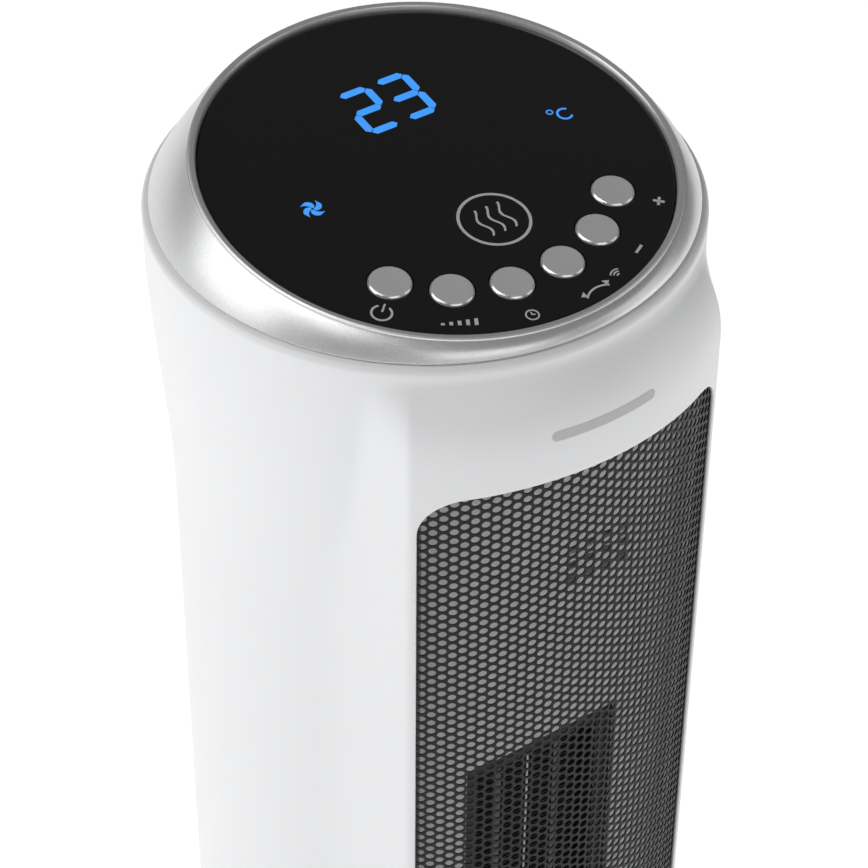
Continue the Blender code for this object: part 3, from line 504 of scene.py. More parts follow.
def pulled(outline, low, high, up="Z"):
    """A filled outline pulled from one height to another, along Z or along Y."""
    if up == "Z":
        rings = [[(x, y, height) for x, y in outline] for height in (low, high)]
    else:
        rings = [[(x, height, z) for x, z in outline] for height in (low, high)]
    return lofted(rings, caps=True)


def block(low, high, bevel=0.0, segments=2):
    """A box between two corners, with its edges bevelled."""
    alone()
    middle = [(a + b) / 2 for a, b in zip(low, high)]
    bpy.ops.mesh.primitive_cube_add(size=1, location=middle, scale=[b - a for a, b in zip(low, high)])
    bpy.ops.object.transform_apply(location=True, rotation=False, scale=True)
    piece = bpy.context.object
    if bevel:
        modify(piece, "BEVEL", width=bevel, segments=segments, limit_method="NONE")
    return piece


# %% [markdown]
# ## Finishing a piece
#
# A finished piece is named, laid on the tilted panel if it belongs there, brought to metres with its
# place in its own mesh, shaded, painted, and hung on the body that it moves with.

# %% Finishing
PANEL_PLANE = Matrix.Translation((0, PANEL_Y, PANEL_HEIGHT)) @ Matrix.Rotation(PANEL_TILT, 4, "X")


def done(piece, name, body, look, replaces=(), smooth=35, on_panel=False):
    alone(piece)
    piece.name = piece.data.name = name
    place = PANEL_PLANE if on_panel else Matrix.Identity(4)
    piece.matrix_world = Matrix.Scale(MM, 4) @ place @ piece.matrix_world
    bpy.ops.object.transform_apply(location=True, rotation=True, scale=True)
    bpy.ops.object.shade_smooth_by_angle(angle=math.radians(smooth))
    if not piece.data.materials:
        piece.data.materials.append(look)
    if replaces:
        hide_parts(*replaces)
    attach(piece, body)
    print(f"{name}: {len(piece.data.polygons)} faces on {body}")
    return piece


# %% [markdown]
# ## The casing
#
# The tower is round at the head, where the bezel sits on it. Below that it swells forwards into a
# round front with two creased corners, and its sides sweep back from the creases. The plan's radius
# is worked out for any angle from the front, and a second rule blends it with the round head at any
# height. The wall is a loft of many rings, outside up and inside down.

# %% The casing's rule
CREASE, SIDE_END = math.radians(37.0), math.radians(65.0)
SIDE_POWER, CREASE_SOFT, SIDE_BLEND = 2.3, 0.35, 1.0
SHOULDER_DROP, SHOULDER_HIGH, SHOULDER_POWER = 17.0, 25.0, 2.5
NECK_DROP, NECK_HIGH = 20.0, 92.0


def plan_radius(angle):
    """Radius of the tower's plan at an angle from the front."""
    away = max(0.0, (SIDE_END - angle) / (SIDE_END - CREASE))
    rear = REAR_R - SIDE_BLEND
    side = rear + (FRONT_R - rear) * away ** SIDE_POWER
    return min(FRONT_R, side) - CREASE_SOFT * math.log1p(math.exp(-abs(FRONT_R - side) / CREASE_SOFT))


def casing_radius(angle, height):
    """Radius of the casing's outside at an angle and a height."""
    below = PANEL_HEIGHT - height
    fall = min(1.0, max(0.0, (below - NECK_DROP) / NECK_HIGH))
    round_r = HEAD_R + (REAR_R - HEAD_R) * fall * fall * (3 - 2 * fall)
    swell = 1 - (1 - min(1.0, max(0.0, (below - SHOULDER_DROP) / SHOULDER_HIGH))) ** SHOULDER_POWER
    over = plan_radius(abs(angle)) - round_r
    if over < SIDE_BLEND:
        over = max(0.0, over + SIDE_BLEND) ** 2 / (4 * SIDE_BLEND)
    return round_r + swell * over


def angles_round():
    """Angles from the front, closest together at the creased corners."""
    half, angle = [], 0.0
    while angle < 180.0:
        half.append(math.radians(angle))
        near = abs(angle - math.degrees(CREASE))
        angle += 0.35 if near < 3.4 else 1.2 if angle < 75 else 2.5
    return half + [math.pi] + [-a for a in reversed(half[1:])]


ROUND = angles_round()


def casing_ring(height, inset=0.0):
    radii = [casing_radius(a, height) - inset for a in ROUND]
    return [(r * math.sin(a), -r * math.cos(a), height) for r, a in zip(radii, ROUND)]


def level_ring(radius, height):
    return [(radius * math.sin(a), -radius * math.cos(a), height) for a in ROUND]


print("casing:", len(ROUND), "columns")

# %% [markdown]
# The opening for the grille is cut with a mouth that flares like a trumpet, so the cut leaves a
# rounded lip instead of a knife edge. The cutter follows the curved front: each of its rings lies
# at one depth below the surface, and is as much wider as a quarter circle asks.

# %% The grille's opening
GRILLE_HALF, GRILLE_CORNER, GRILLE_ARCH = 49.5, 12.0, 3.0
GRILLE_TOP, GRILLE_BOTTOM = PANEL_HEIGHT - 48.4, 66.0
LIP_ROUND = 1.0


def grille_outline(spread=0.0):
    """The opening as (x, z), moved outwards by a spread."""
    half, corner = GRILLE_HALF + spread, GRILLE_CORNER + spread
    reach = half - corner

    def top(x):
        return GRILLE_TOP + spread - GRILLE_ARCH * (x / GRILLE_HALF) ** 2

    floor = GRILLE_BOTTOM - spread
    across = [(reach * (1 - 2 * i / 30), top(reach * (1 - 2 * i / 30))) for i in range(1, 30)]
    return (arc((reach, floor + corner), corner, -90, 0, 12)
            + arc((reach, top(reach) - corner), corner, 0, 86, 12) + across
            + arc((-reach, top(reach) - corner), corner, 94, 180, 12)
            + arc((-reach, floor + corner), corner, 180, 270, 12))


def front_ring(spread, depth):
    """The outline laid on the round front, at a depth below its surface."""
    radius = FRONT_R - depth
    return [(x, -math.sqrt(radius ** 2 - x ** 2), z) for x, z in grille_outline(spread)]


def mouth_cutter():
    widest = LIP_ROUND + 0.1
    rings = [[(x, -BASE_R, z) for x, z in grille_outline(widest)], front_ring(widest, -0.02)]
    for step in range(1, 7):
        turn = math.radians(90 * step / 6)
        rings.append(front_ring(LIP_ROUND * (1 - math.sin(turn)), LIP_ROUND * (1 - math.cos(turn))))
    rings.append([(x, -BASE_R / 2, z) for x, z in grille_outline()])
    return lofted(rings, caps=True)


# %% Casing
def casing():
    head = PANEL_HEIGHT - SEAM_DROP - GAP
    edge = HEAD_R - SEAM_R
    bottom = shell_low[2]
    neck_end = PANEL_HEIGHT - NECK_DROP - NECK_HIGH
    levels = [bottom + 1.6 + (neck_end - bottom) * i / 12 for i in range(12)]
    count = 46
    rise = PANEL_HEIGHT - SHOULDER_DROP - neck_end
    levels += [neck_end + rise * i / count for i in range(count + 1)]
    rings = [casing_ring(bottom + 1.6 * (1 - math.cos(t)), 1.2 * (1 - math.sin(t)))
             for t in (math.radians(22.5 * i) for i in range(4))]
    rings += [casing_ring(height) for height in levels]
    for step in range(9):
        turn = math.radians(90 * step / 8)
        rings.append(level_ring(SEAM_R + edge * math.cos(turn), head - edge + edge * math.sin(turn)))
    rings += [level_ring(SEAM_R - RIM_WIDE, head), level_ring(SEAM_R - RIM_WIDE, head - 3.2)]
    rings += [casing_ring(height, WALL) for height in reversed(levels[:-1:3])]
    rings.append(casing_ring(bottom, WALL))
    return lofted(rings)


shell = casing()
cut(shell, mouth_cutter())
low, high = node_box("intake_cover")
cut(shell, block((low[0] - GAP, 25, low[2] - GAP), (high[0] + GAP, BASE_R, high[2] + GAP)))
low, high = node_box("rocker_housing")
rocker_middle = (low[2] + high[2]) / 2
rocker_side, rocker_rise = 10, 7.1  # half the switch's opening, across and up
cut(shell, block((-rocker_side, BASE_R / 2, rocker_middle - rocker_rise),
                 (rocker_side, BASE_R, rocker_middle + rocker_rise)))
modify(shell, "WEIGHTED_NORMAL", keep_sharp=True)
done(shell, "casing", "tower", WHITE, ("main_shell",), smooth=32)

# %% [markdown]
# ## The perforated front
#
# Round holes on a triangle grid leave a hexagon of metal round each hole. So one hexagon with a hole
# is modelled: a circle of twelve corners, extruded outwards and set to the hexagon. Two such cells,
# repeated across and up, make the sheet. It is bent round the tower, trimmed to the opening with a
# margin that disappears behind the lip, and given its thickness.

# %% Perforated sheet
HOLE_PITCH = 3.28
HOLE_R = 1.27
SHEET_THICK = 0.45
COLUMN = HOLE_PITCH * math.sqrt(3) / 2
SHEET_R = -node_box("front_grille")[0][1]


def hole_cell():
    """One hole in its hexagon, standing in the X-Z plane."""
    alone()
    bpy.ops.mesh.primitive_circle_add(vertices=12, radius=HOLE_R, enter_editmode=True)
    piece = bpy.context.object
    bpy.ops.mesh.extrude_edges_move()
    mesh = bmesh.from_edit_mesh(piece.data)
    for corner in mesh.verts:
        turn = math.atan2(corner.co.y, corner.co.x)
        to_flat = turn % (math.pi / 3) - math.pi / 6
        reach = HOLE_PITCH / 2 / math.cos(to_flat) if corner.select else HOLE_R
        corner.co = (reach * math.cos(turn), 0, reach * math.sin(turn))
    bmesh.update_edit_mesh(piece.data)
    return alone(piece)


def cell_grid(low, rows):
    """Cells across the opening and upwards from a height, as one merged flat sheet."""
    pairs = 2 * math.ceil((GRILLE_HALF + 5) / COLUMN / 2) + 1
    first, second = hole_cell(), hole_cell()
    second.location = (COLUMN, 0, HOLE_PITCH / 2)
    sheet = joined([first, second])
    for count, step in ((pairs, (2 * COLUMN, 0, 0)), (rows, (0, 0, HOLE_PITCH))):
        modify(sheet, "ARRAY", count=count, use_relative_offset=False, use_constant_offset=True,
               constant_offset_displace=step, use_merge_vertices=True, merge_threshold=0.01)
    edit(sheet)
    bpy.ops.mesh.select_all(action="SELECT")
    bpy.ops.transform.translate(value=(-(pairs - 1) * COLUMN, 0, low))
    return alone(sheet)


def trimmed(sheet, low):
    """Drop the cells whose middle lies past the opening and its margin."""
    def middle(face):
        place = face.calc_center_median()
        column = round(place.x / COLUMN)
        shift = low + (HOLE_PITCH / 2 if column % 2 else 0)
        near = [(c, round((place.z - s) / HOLE_PITCH) * HOLE_PITCH + s)
                for c, s in ((column, shift), (column - 1, 2 * low + HOLE_PITCH / 2 - shift),
                             (column + 1, 2 * low + HOLE_PITCH / 2 - shift))]
        column, z = min(near, key=lambda cell: math.hypot(place.x - cell[0] * COLUMN, place.z - cell[1]))
        return SHEET_R * math.sin(column * COLUMN / SHEET_R), z

    def outside(face):
        x, z = middle(face)
        top = GRILLE_TOP - GRILLE_ARCH * (x / GRILLE_HALF) ** 2
        return abs(x) > GRILLE_HALF + 1.2 or not GRILLE_BOTTOM - 2 < z < top + 2

    edit(sheet, "FACE")
    pick(sheet, "faces", outside)
    bpy.ops.mesh.delete(type="FACE")
    return alone(sheet)


def bent_round(sheet):
    """Bend a flat sheet round the tower, its face outwards, and give it its thickness."""
    edit(sheet)
    mesh = bmesh.from_edit_mesh(sheet.data)
    for corner in mesh.verts:
        turn = corner.co.x / SHEET_R
        corner.co = (SHEET_R * math.sin(turn), -SHEET_R * math.cos(turn), corner.co.z)
    bmesh.update_edit_mesh(sheet.data)
    bpy.ops.mesh.select_all(action="SELECT")
    bpy.ops.mesh.remove_doubles(threshold=0.01)
    bpy.ops.mesh.normals_make_consistent(inside=False)
    mesh = bmesh.from_edit_mesh(sheet.data)
    mesh.faces.ensure_lookup_table()
    if mesh.faces[0].normal.y > 0:
        bpy.ops.mesh.flip_normals()
    return modify(sheet, "SOLIDIFY", thickness=SHEET_THICK, offset=-1)


rows_each = math.ceil((GRILLE_TOP - GRILLE_BOTTOM + 8) / HOLE_PITCH / 3)
for number in range(3):
    low = GRILLE_BOTTOM - 4 + number * rows_each * HOLE_PITCH
    sheet = bent_round(trimmed(cell_grid(low, rows_each), low))
    done(sheet, f"front_mesh_{number + 1}", "tower", MESH_PAINT, ("front_grille",))

# %% [markdown]
# ## The heater's fins
#
# Behind the window stands the heating element: ceramic stones in sleeves, with a corrugated strip on
# each side that carries the heat into the air. One fold of the strip is drawn, repeated up the
# element, pulled to the strip's width and thickened to sheet metal.

# %% Corrugated fins
FOLD_FLAT, FOLD_SLANT, FIN_SHEET = 0.2, 0.45, 0.14
FOLD_PITCH = 2 * (FOLD_FLAT + FOLD_SLANT)


def fold(front, back):
    """One fold of the strip, seen from the side: forward, up, back."""
    alone()
    bpy.ops.mesh.primitive_plane_add(size=1, enter_editmode=True)
    bpy.ops.mesh.merge(type="CENTER")
    bpy.ops.transform.translate(value=(0, back, 0))
    steps = ((0, FOLD_FLAT), (front - back, FOLD_SLANT), (0, FOLD_FLAT), (back - front, FOLD_SLANT))
    for forward, rise in steps:
        move = (0, forward, rise)
        bpy.ops.mesh.extrude_vertices_move(TRANSFORM_OT_translate={"value": move})
    return alone(bpy.context.object)


def fin_strip(node):
    low, high = node_box(node)
    folds = math.floor((high[2] - low[2] - 0.5) / FOLD_PITCH)
    strip = fold(low[1] + 0.2, high[1] - 0.2)
    modify(strip, "ARRAY", count=folds, use_relative_offset=False, use_constant_offset=True,
           constant_offset_displace=(0, 0, FOLD_PITCH), use_merge_vertices=True, merge_threshold=0.01)
    edit(strip)
    bpy.ops.mesh.select_all(action="SELECT")
    bpy.ops.mesh.extrude_edges_move(TRANSFORM_OT_translate={"value": (high[0] - low[0], 0, 0)})
    bpy.ops.mesh.select_all(action="SELECT")
    bpy.ops.transform.translate(value=(low[0], 0, low[2] + 0.3))
    return modify(closed(strip), "SOLIDIFY", thickness=FIN_SHEET, offset=0)


for number in range(1, 5):
    done(fin_strip(f"fin_pack_{number}"), f"fins_{number}", "tower", FINS,
         (f"fin_pack_{number}",), smooth=20)

# %% [markdown]
# ## The bezel
#
# The bezel is the ring between the tilted panel and the level seam of the casing. A circle is
# extruded from the panel's edge, over a narrow raised lip, down a small step, and along a band that
# bulges a little, to the seam. Its upper rings lie in the panel's plane and its last ones are level.

# %% Bezel
BAND_BULGE, BAND_RINGS = 0.55, 14


def tilted_ring(radius, height):
    return [PANEL_PLANE @ Vector((radius * math.sin(a), -radius * math.cos(a), height)) for a in ROUND]


def band_ring(first, last, share):
    """A ring part of the way down the band, pushed out by the bulge."""
    ring = []
    push = BAND_BULGE * 4 * share * (1 - share)
    for a, b in zip(first, last):
        point = Vector(a).lerp(Vector(b), share)
        outward = Vector((point.x, point.y, 0)).normalized() + Vector((0, 0, 1))
        ring.append(point + push * outward.normalized())
    return ring


def bezel():
    inner, lip = PANEL_R + 0.4, PANEL_R + LIP_WIDE
    seam = PANEL_HEIGHT - SEAM_DROP
    rings = [tilted_ring(inner, -6), tilted_ring(inner, -0.2), tilted_ring(inner + 0.1, 1.0),
             tilted_ring(inner + 0.4, 1.5), tilted_ring(inner + 0.8, LIP_HIGH),
             tilted_ring(lip - 0.5, LIP_HIGH),
             tilted_ring(lip - 0.1, LIP_HIGH - 0.25), tilted_ring(lip, LIP_HIGH - 0.7)]
    first, last = tilted_ring(lip + 0.25, LIP_HIGH - 0.8), level_ring(SEAM_R, seam + 0.8)
    rings += [band_ring(first, last, i / BAND_RINGS) for i in range(BAND_RINGS + 1)]
    rings += [level_ring(SEAM_R - 0.15, seam + 0.25), level_ring(SEAM_R - 0.5, seam),
              level_ring(SEAM_R - RIM_WIDE - 2 * GAP, seam)]
    return lofted(rings)


done(bezel(), "bezel", "tower", SILVER, ("bezel_ring",), smooth=30)

# %% [markdown]
# ## The panel and its keys
#
# The lens is a spun disc with a polished edge, drilled for six keys. A ring of flat surface just
# inside the edge keeps the polish flat right up to it. Each key is a spun cap whose chamfer carries a
# painted highlight, and a flange under the panel that keeps it in.

# %% Panel lens
PANEL_THICK, CARRIER_THICK = 2.5, 3.0
KEY_FLANGE, KEY_REACH = 1.2, 1.2  # the flange's thickness, and how far it reaches past the cap


def key_spots():
    half = (len(BUTTON_NAMES) - 1) / 2
    turns = [(i - half) * BUTTON_PITCH for i in range(len(BUTTON_NAMES))]
    return [(BUTTON_RING_R * math.sin(a), -BUTTON_RING_R * math.cos(a)) for a in turns]


def lens():
    profile = [(0, 0), (PANEL_R - 1.4, 0), (PANEL_R - 0.55, 0), (PANEL_R - 0.25, -0.08),
               (PANEL_R - 0.06, -0.28), (PANEL_R, -0.6), (PANEL_R, -PANEL_THICK), (0, -PANEL_THICK)]
    disc = spun(profile, 192)
    drill = [spun([(0, 2), (BUTTON_R + 0.35, 2), (BUTTON_R + 0.35, -4), (0, -4)], 64, spot)
             for spot in key_spots()]
    return cut(disc, joined(drill))


done(lens(), "panel_face", "tower", PANEL_GLOSS, ("panel_lens",), smooth=30, on_panel=True)


# %% Keys
def key(spot):
    seat = -PANEL_THICK - CARRIER_THICK - 2 * GAP
    top = BUTTON_PROUD
    flange = BUTTON_R + KEY_REACH
    profile = [(0, top - 0.06), (BUTTON_R - 1.2, top - 0.03), (BUTTON_R - 0.62, top),
               (BUTTON_R - 0.5, top - 0.02), (BUTTON_R - 0.12, top - 0.34), (BUTTON_R, top - 0.6),
               (BUTTON_R, seat), (flange, seat), (flange, seat - KEY_FLANGE), (0, seat - KEY_FLANGE)]
    cap = spun(profile, 72, spot)
    cap.data.materials.append(CAP_GREY)
    cap.data.materials.append(CAP_RIM_PAINTED_HIGHLIGHT)
    # the chamfer faces take the brighter lacquer, a painted highlight
    for face in cap.data.polygons:
        if face.center.z > top - 0.5 and face.normal.z < 0.95:
            face.material_index = 1
    return cap


for name, spot in zip(BUTTON_NAMES, key_spots()):
    done(key(spot), f"key_{name}", f"button_{name}", CAP_GREY, (f"button_{name}",),
         smooth=28, on_panel=True)

# %% [markdown]
# ## Signs on the panel
#
# The lit signs are two seven-segment digits, a degree sign and a fan. The printed ones are plain
# symbols that any maker uses: power, level bars, a clock, a swing arrow, waves, minus and plus, and a
# ring with rising heat. Each is cut from a film a few hundredths of a millimetre thick that lies on
# the lens, drawn in its own small frame and then turned to face the panel's middle.

# %% Drawing signs
FILM_LOW, FILM_HIGH = 0.01, 0.05


def film(outline):
    return pulled(outline, FILM_LOW, FILM_HIGH)


def stroke(start, end, wide, point=0.0):
    """A straight stroke. With a point, its ends are cut to a blunt arrow like a display segment."""
    a, b = Vector(start), Vector(end)
    along = (b - a).normalized()
    side = Vector((-along.y, along.x)) * wide / 2
    tip = along * point
    corners = [a + side, a - side, b - side, b + side]
    if point:
        corners = [a + tip + side, a, a + tip - side, b - tip - side, b, b - tip + side]
    return film([tuple(corner) for corner in corners])


def bow(centre, inner, outer, start, end, steps=40):
    """A piece of a ring. A whole ring is two of them."""
    return film(arc(centre, outer, start, end, steps) + arc(centre, inner, end, start, steps))


def ring_sign(centre, inner, outer):
    return [bow(centre, inner, outer, 0, 180), bow(centre, inner, outer, 180, 360)]


def wave(x, low, high, wide, swing):
    """An upright wavy stroke."""
    steps = 24
    rise = [low + (high - low) * i / steps for i in range(steps + 1)]
    line = [(x + swing * math.sin(math.tau * 1.25 * (z - low) / (high - low)), z) for z in rise]
    right = [(px + wide / 2, py) for px, py in line]
    left = [(px - wide / 2, py) for px, py in reversed(line)]
    return film(right + left)


def facing_middle(pieces, place):
    """Join a sign's pieces and turn it so that its top points to the panel's middle."""
    sign = joined(pieces)
    sign.matrix_world = (Matrix.Translation((*place, 0))
                         @ Matrix.Rotation(math.atan2(place[0], -place[1]), 4, "Z"))
    bpy.ops.object.transform_apply(location=True, rotation=True, scale=True)
    return sign


# %% Lit signs
DIGIT_HALF, DIGIT_LOW, DIGIT_MIDDLE, DIGIT_TOP = 4.3, 19.7, 27.85, 36.0
SEGMENT_WIDE, SEGMENT_GAP, SEGMENT_POINT = 2.35, 0.2, 1.05


def digit(x, lit_segments):
    left, right = x - DIGIT_HALF, x + DIGIT_HALF
    low, middle, top = DIGIT_LOW, DIGIT_MIDDLE, DIGIT_TOP
    gap = SEGMENT_GAP
    places = {"top": ((left + gap, top), (right - gap, top)),
              "middle": ((left + gap, middle), (right - gap, middle)),
              "bottom": ((left + gap, low), (right - gap, low)),
              "right_up": ((right, middle + gap), (right, top - gap)),
              "right_low": ((right, low + gap), (right, middle - gap)),
              "left_low": ((left, low + gap), (left, middle - gap))}
    return [stroke(*places[name], SEGMENT_WIDE, SEGMENT_POINT) for name in lit_segments]


BLADE_SWEEP, BLADE_SPREAD, HUB_SHARE, TIP_BLUNT = 48, 82, 0.13, 0.36


def fan_sign(centre, radius):
    """Four blades like fins: a swept leading edge, and a trailing edge that meets it at the tip."""
    shares = [HUB_SHARE + (1 - HUB_SHARE) * i / 12 for i in range(13)]
    leading = [(share, BLADE_SWEEP * share) for share in shares]
    trailing = [(share, BLADE_SWEEP * share - BLADE_SPREAD * (1 - share) ** TIP_BLUNT)
                for share in shares[-2::-1]]
    blades = []
    for turn in (0, 90, 180, 270):
        outline = []
        for share, angle in leading + trailing:
            way, reach = math.radians(angle + turn), radius * share
            outline.append((centre[0] + reach * math.cos(way), centre[1] + reach * math.sin(way)))
        blades.append(film(outline))
    return blades


digits = joined(digit(-4.1, ("top", "right_up", "middle", "left_low", "bottom"))
                + digit(8.25, ("top", "right_up", "middle", "right_low", "bottom")))
done(digits, "lit_digits", "tower", LED_BLUE, on_panel=True)
degree = joined(ring_sign((39.6, 3.0), 0.65, 1.05) + [bow((43.0, 0.5), 1.75, 2.4, 42, 318)])
done(degree, "lit_degree", "tower", LED_BLUE, on_panel=True)
done(joined(fan_sign((-38.9, 1.9), 3.4)), "lit_fan", "tower", LED_BLUE, on_panel=True)

# %% Printed signs
INK_WIDE = 0.55
heat_ring = joined(ring_sign((1.5, -25), 9.35, 10.2)
                   + [wave(x, -30.2, -19.8, 0.7, 0.8) for x in (-2.2, 1.5, 5.2)])
power = facing_middle([bow((0, 0), 2.4, 3.0, 122, 418), stroke((0, 0.4), (0, 3.4), INK_WIDE)],
                      (-44.3, -39.8))
levels = facing_middle([stroke((x, -1.2), (x, -0.4 + 0.4 * step), 1.0)
                        for step, x in enumerate((-4.4, -2.2, 0, 2.2, 4.4))],
                       (-28.5, -52.4))
clock = facing_middle(ring_sign((0, 0), 1.5, 1.95)
                      + [stroke((0, -0.2), (0, 1.1), 0.4), stroke((-0.2, 0), (0.9, 0), 0.4)],
                      (-10.4, -59.6))
arrow_heads = [film([(side * 5.2, 0.2), (side * 3.4, 1.3), (side * 3.6, -0.9)][::side])
               for side in (-1, 1)]
swing_arc = facing_middle([bow((0, -6), 6.1, 6.7, 50, 130)] + arrow_heads, (9.7, -60.0))
waves = facing_middle([bow((0, -1.4), r, r + 0.45, 50, 130, 12) for r in (0.6, 1.5, 2.4)],
                      (18.0, -57.8))
minus = facing_middle([stroke((-1.75, 0), (1.75, 0), 0.8)], (28.85, -53.3))
plus = facing_middle([stroke((-1.6, 0), (1.6, 0), 0.8), stroke((0, -1.6), (0, 1.6), 0.8)], (44.8, -40.9))
signs = {"heat_ring": heat_ring, "power": power, "levels": levels, "clock": clock, "swing": swing_arc,
         "waves": waves, "minus": minus, "plus": plus}
for name, sign in signs.items():
    done(sign, f"sign_{name}", "tower", INK, on_panel=True)


# %% [markdown]
# On the front of the casing, where a maker puts a name, there is only a plain rounded bar. It is
# drawn flat, divided so that it can bend, and laid on the casing by the casing's own rule.

# %% Plain bar on the front
def front_bar(half, thick, height):
    """Upright slices from one end to the other, each as high as the bar is there."""
    steps, rings = 60, []
    for i in range(steps + 1):
        x = half * math.cos(math.pi * i / steps)
        past = max(0.0, abs(x) - (half - thick / 2))
        rise = max(0.05, math.sqrt((thick / 2) ** 2 - past ** 2)) if past < thick / 2 else 0.05
        ring = []
        for side, proud in ((-1, -0.2), (-1, 0.05), (0, 0.05), (1, 0.05), (1, -0.2)):
            turn, z = x / FRONT_R, height + side * rise
            radius = casing_radius(turn, z) + proud
            ring.append((radius * math.sin(turn), -radius * math.cos(turn), z))
        rings.append(ring)
    return lofted(rings, caps=True)


done(front_bar(17.0, 3.0, PANEL_HEIGHT - 33.5), "front_mark", "tower", PALE_INK)

# %% [markdown]
# ## The base
#
# The base is spun from one profile. Corners of a rough profile are cut off again and again, which
# turns them into an easy curve, as a moulded cover has. The slot is where the crank's pin runs, and
# the notch at the rear holds the gland.

# %% Base cover
CRANK_Y, CRANK_ARM, PIN_R, PIN_PLAY = 36.0, 21.6, 2.5, 1.2
NOTCH_HALF, NOTCH_LOW, NOTCH_HIGH, NOTCH_DEEP = 8.8, 5.9, 23.3, 16  # the gland's notch


def eased(points, times):
    """Cut the corners of an open line, keeping its ends."""
    for _ in range(times):
        line = [points[0]]
        for (ax, ay), (bx, by) in zip(points, points[1:]):
            line.append((0.75 * ax + 0.25 * bx, 0.75 * ay + 0.25 * by))
            line.append((0.25 * ax + 0.75 * bx, 0.25 * ay + 0.75 * by))
        points = line + [points[-1]]
    return points


def base_cover():
    ceiling, inside, low = BASE_TOP - 4.0, BASE_R - 3.5, 3.3
    outer = eased([(BASE_R - 28, BASE_TOP), (BASE_R - 14, BASE_TOP - 1.2), (BASE_R - 5.5, BASE_TOP - 5),
                   (BASE_R - 1.2, BASE_TOP - 12), (BASE_R, BASE_TOP - 19), (BASE_R, low + 1.2)], 3)
    profile = [(9.6, BASE_TOP), (40, BASE_TOP)] + outer
    profile += [(BASE_R - 0.15, low + 0.5), (BASE_R - 0.7, low), (inside, low), (inside, BASE_TOP - 18),
                (inside - 5, BASE_TOP - 9), (inside - 13, ceiling), (9.6, ceiling), (9.6, BASE_TOP)]
    cover = spun(profile, 160)
    half = PIN_R + PIN_PLAY
    slot = (arc((0, CRANK_Y + CRANK_ARM), half, 0, 180, 20)
            + arc((0, CRANK_Y - CRANK_ARM), half, 180, 360, 20))
    cut(cover, pulled(slot, ceiling - 1, BASE_TOP + 1))
    cut(cover, block((-NOTCH_HALF, BASE_R - NOTCH_DEEP, NOTCH_LOW), (NOTCH_HALF, BASE_R + 5, NOTCH_HIGH)))
    return modify(cover, "WEIGHTED_NORMAL", keep_sharp=True)


done(base_cover(), "base_shell", "base", WHITE_BASE, ("base_cover",), smooth=32)

# %% [markdown]
# ## The rear
#
# The intake cover is a piece of the round wall with rows of slots, two to a row, with round ends.
# The rocker switch and its housing are copies of their CAD pieces with softened edges.

# %% Intake cover
cover_low, cover_high = node_box("intake_cover")
INTAKE_ROWS, INTAKE_RIB, SLOTS_PER_ROW = 12, 7.5, 3
SLAT = 1.5


def intake_cover():
    half = cover_high[0]
    turn = math.degrees(math.asin(half / REAR_R))
    outline = (arc((0, 0), REAR_R, 90 - turn, 90 + turn, 64)
               + arc((0, 0), REAR_R - WALL, 90 + turn, 90 - turn, 64))
    cover = pulled(outline, cover_low[2], cover_high[2])
    opening_low, opening_high = cover_low[2] - GAP, cover_high[2] + GAP
    pitch = (opening_high - opening_low - 16) / INTAKE_ROWS
    slot_high = (pitch - INTAKE_RIB - SLAT * (SLOTS_PER_ROW - 1)) / SLOTS_PER_ROW
    slots = []
    for row in range(INTAKE_ROWS):
        for line in range(SLOTS_PER_ROW):
            low = opening_low + 8 + pitch * row + INTAKE_RIB / 2 + line * (slot_high + SLAT)
            middle, end = low + slot_high / 2, slot_high / 2
            for left, right in ((-half + 6, -2), (2, half - 6)):
                outline = (arc((right - end, middle), end, -90, 90, 6)
                           + arc((left + end, middle), end, 90, 270, 6))
                slots.append(pulled(outline, 30, BASE_R, up="Y"))
    return cut(cover, joined(slots))


done(intake_cover(), "intake_louvre", "intake", WHITE, ("intake_cover",), smooth=25)


# %% Rocker switch
def softened_copy(node, width):
    """A merged copy of a CAD node with its edges rounded."""
    alone(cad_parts[node])
    bpy.ops.object.duplicate()
    copy = bpy.context.object
    for key in list(copy.keys()):
        del copy[key]
    copy.parent = None
    copy.data.materials.clear()
    copy.data.transform(Matrix.Scale(1 / MM, 4))
    closed(copy)
    edit(copy)
    bpy.ops.mesh.select_all(action="SELECT")
    bpy.ops.mesh.dissolve_limited(angle_limit=math.radians(2))
    modify(alone(copy), "BEVEL", width=width, segments=3, limit_method="ANGLE",
           angle_limit=math.radians(30))
    return copy


done(softened_copy("rocker_housing", 0.25), "switch_housing", "tower", BLACK,
     ("rocker_housing",), smooth=30)
done(softened_copy("rear_rocker", 0.35), "switch_rocker", "rocker", BLACK_SATIN,
     ("rear_rocker",), smooth=30)

# %% [markdown]
# ## Pieces that keep their CAD shape
#
# Inside, behind and underneath, the CAD pieces are already right. They only need their finishes.

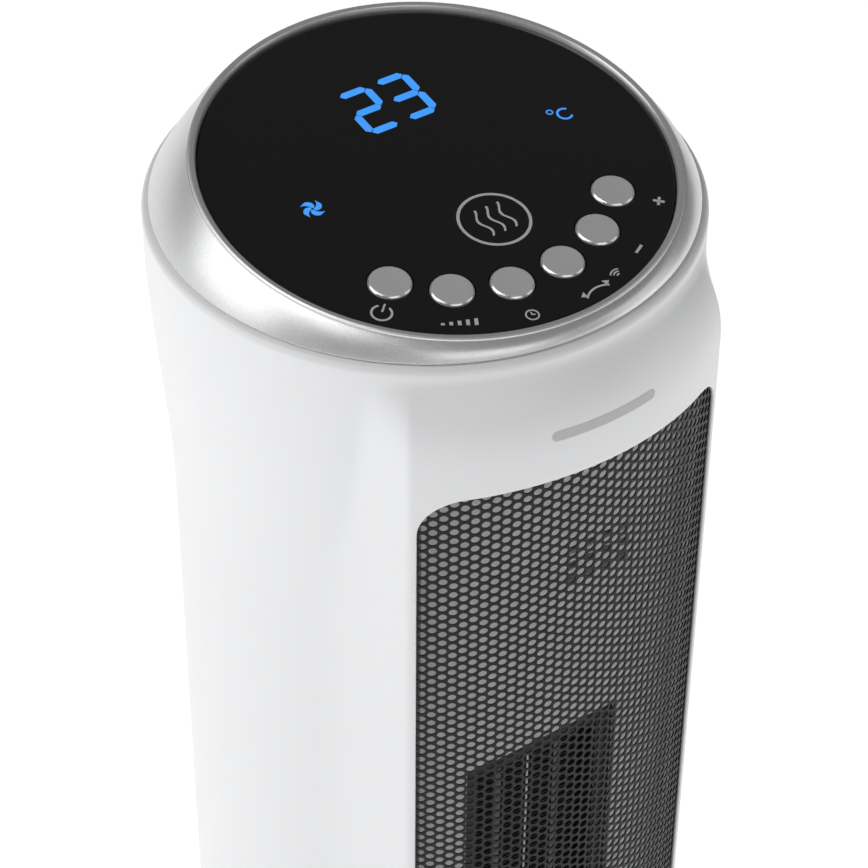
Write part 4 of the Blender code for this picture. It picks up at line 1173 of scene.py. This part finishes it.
# %% Finishes for CAD pieces
KEPT = {
    BACK_GREY: ("inner_baffle",),
    FLOOR_GREY: ("turntable",),
    BLACK: ("heater_frame", "fan_scroll", "impeller", "panel_carrier", "base_plate", "tilt_switch"),
    SLEEVE: ("ceramic_bar_1", "ceramic_bar_2"),
    STEEL: ("electrode_strip", "thermal_cutout", "motor_bracket", "fan_motor", "fan_shaft", "swing_motor",
            "retaining_clip", "ballast_plate", "post_screw_1", "post_screw_2", "base_screw_1",
            "base_screw_2", "base_screw_3", "base_screw_4"),
    NYLON: ("swivel_post", "thrust_ring", "swing_crank", "upper_bush", "tilt_plunger"),
    BOARD: ("control_board", "power_board"),
    DISPLAY: ("display_module",),
    RUBBER: ("foot_1", "foot_2", "foot_3", "foot_4", "cord_gland"),
    FILTER: ("filter_screen",),
}
for look, nodes in KEPT.items():
    for node in nodes:
        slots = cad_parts[node].material_slots
        for slot in slots:
            slot.material = look
print("kept CAD pieces:", sum(len(nodes) for nodes in KEPT.values()))

# %% [markdown]
# ## Floor and studio light
#
# A pale floor, a large soft light from behind on the left that makes the side of the tower nearly
# white and lets it fall off towards the crease, a smaller one high on the left for the bezel's
# band, a broad one near the camera for the front, and a weaker one from the right.

# %% Floor
alone()
bpy.ops.mesh.primitive_plane_add(size=12)
floor = bpy.context.object
floor.name = "floor"
floor_finish = Finish("floor_paper", (0.93, 0.93, 0.935), 0.9, Emission_Strength=0.75)
paper = floor_finish.blend(floor_finish.noise(3.0), (0.92, 0.92, 0.925), (0.94, 0.94, 0.945))
floor_finish.feed(Base_Color=paper)
floor_finish.shader.inputs["Emission Color"].default_value = (1, 1, 1, 1)
floor.data.materials.append(floor_finish.material)

# %% Lights
AIM = Vector((0, 0, 0.5))


def softbox(name, place, wide, high, energy):
    bpy.ops.object.light_add(type="AREA", location=place)
    light = bpy.context.object
    light.name = name
    light.data.shape = "RECTANGLE"
    light.data.size, light.data.size_y = wide, high
    light.data.energy = energy
    light.rotation_mode = "QUATERNION"
    light.rotation_quaternion = (AIM - Vector(place)).to_track_quat("-Z", "Y")
    return light


softbox("left_softbox", (-1.22, 0.57, 1.3), 1.2, 1.5, 10.5)
softbox("high_softbox", (-0.95, -0.1, 1.75), 0.8, 0.8, 4.2)
softbox("camera_softbox", (-0.25, -1.6, 1.25), 1.3, 1.0, 5.0)
softbox("right_softbox", (1.3, -0.9, 0.9), 0.9, 1.5, 3.2)
world = bpy.data.worlds.new("studio")
world.use_nodes = True
world.node_tree.nodes["Background"].inputs["Color"].default_value = (1, 1, 1, 1)
world.node_tree.nodes["Background"].inputs["Strength"].default_value = 0.12
scene.world = world
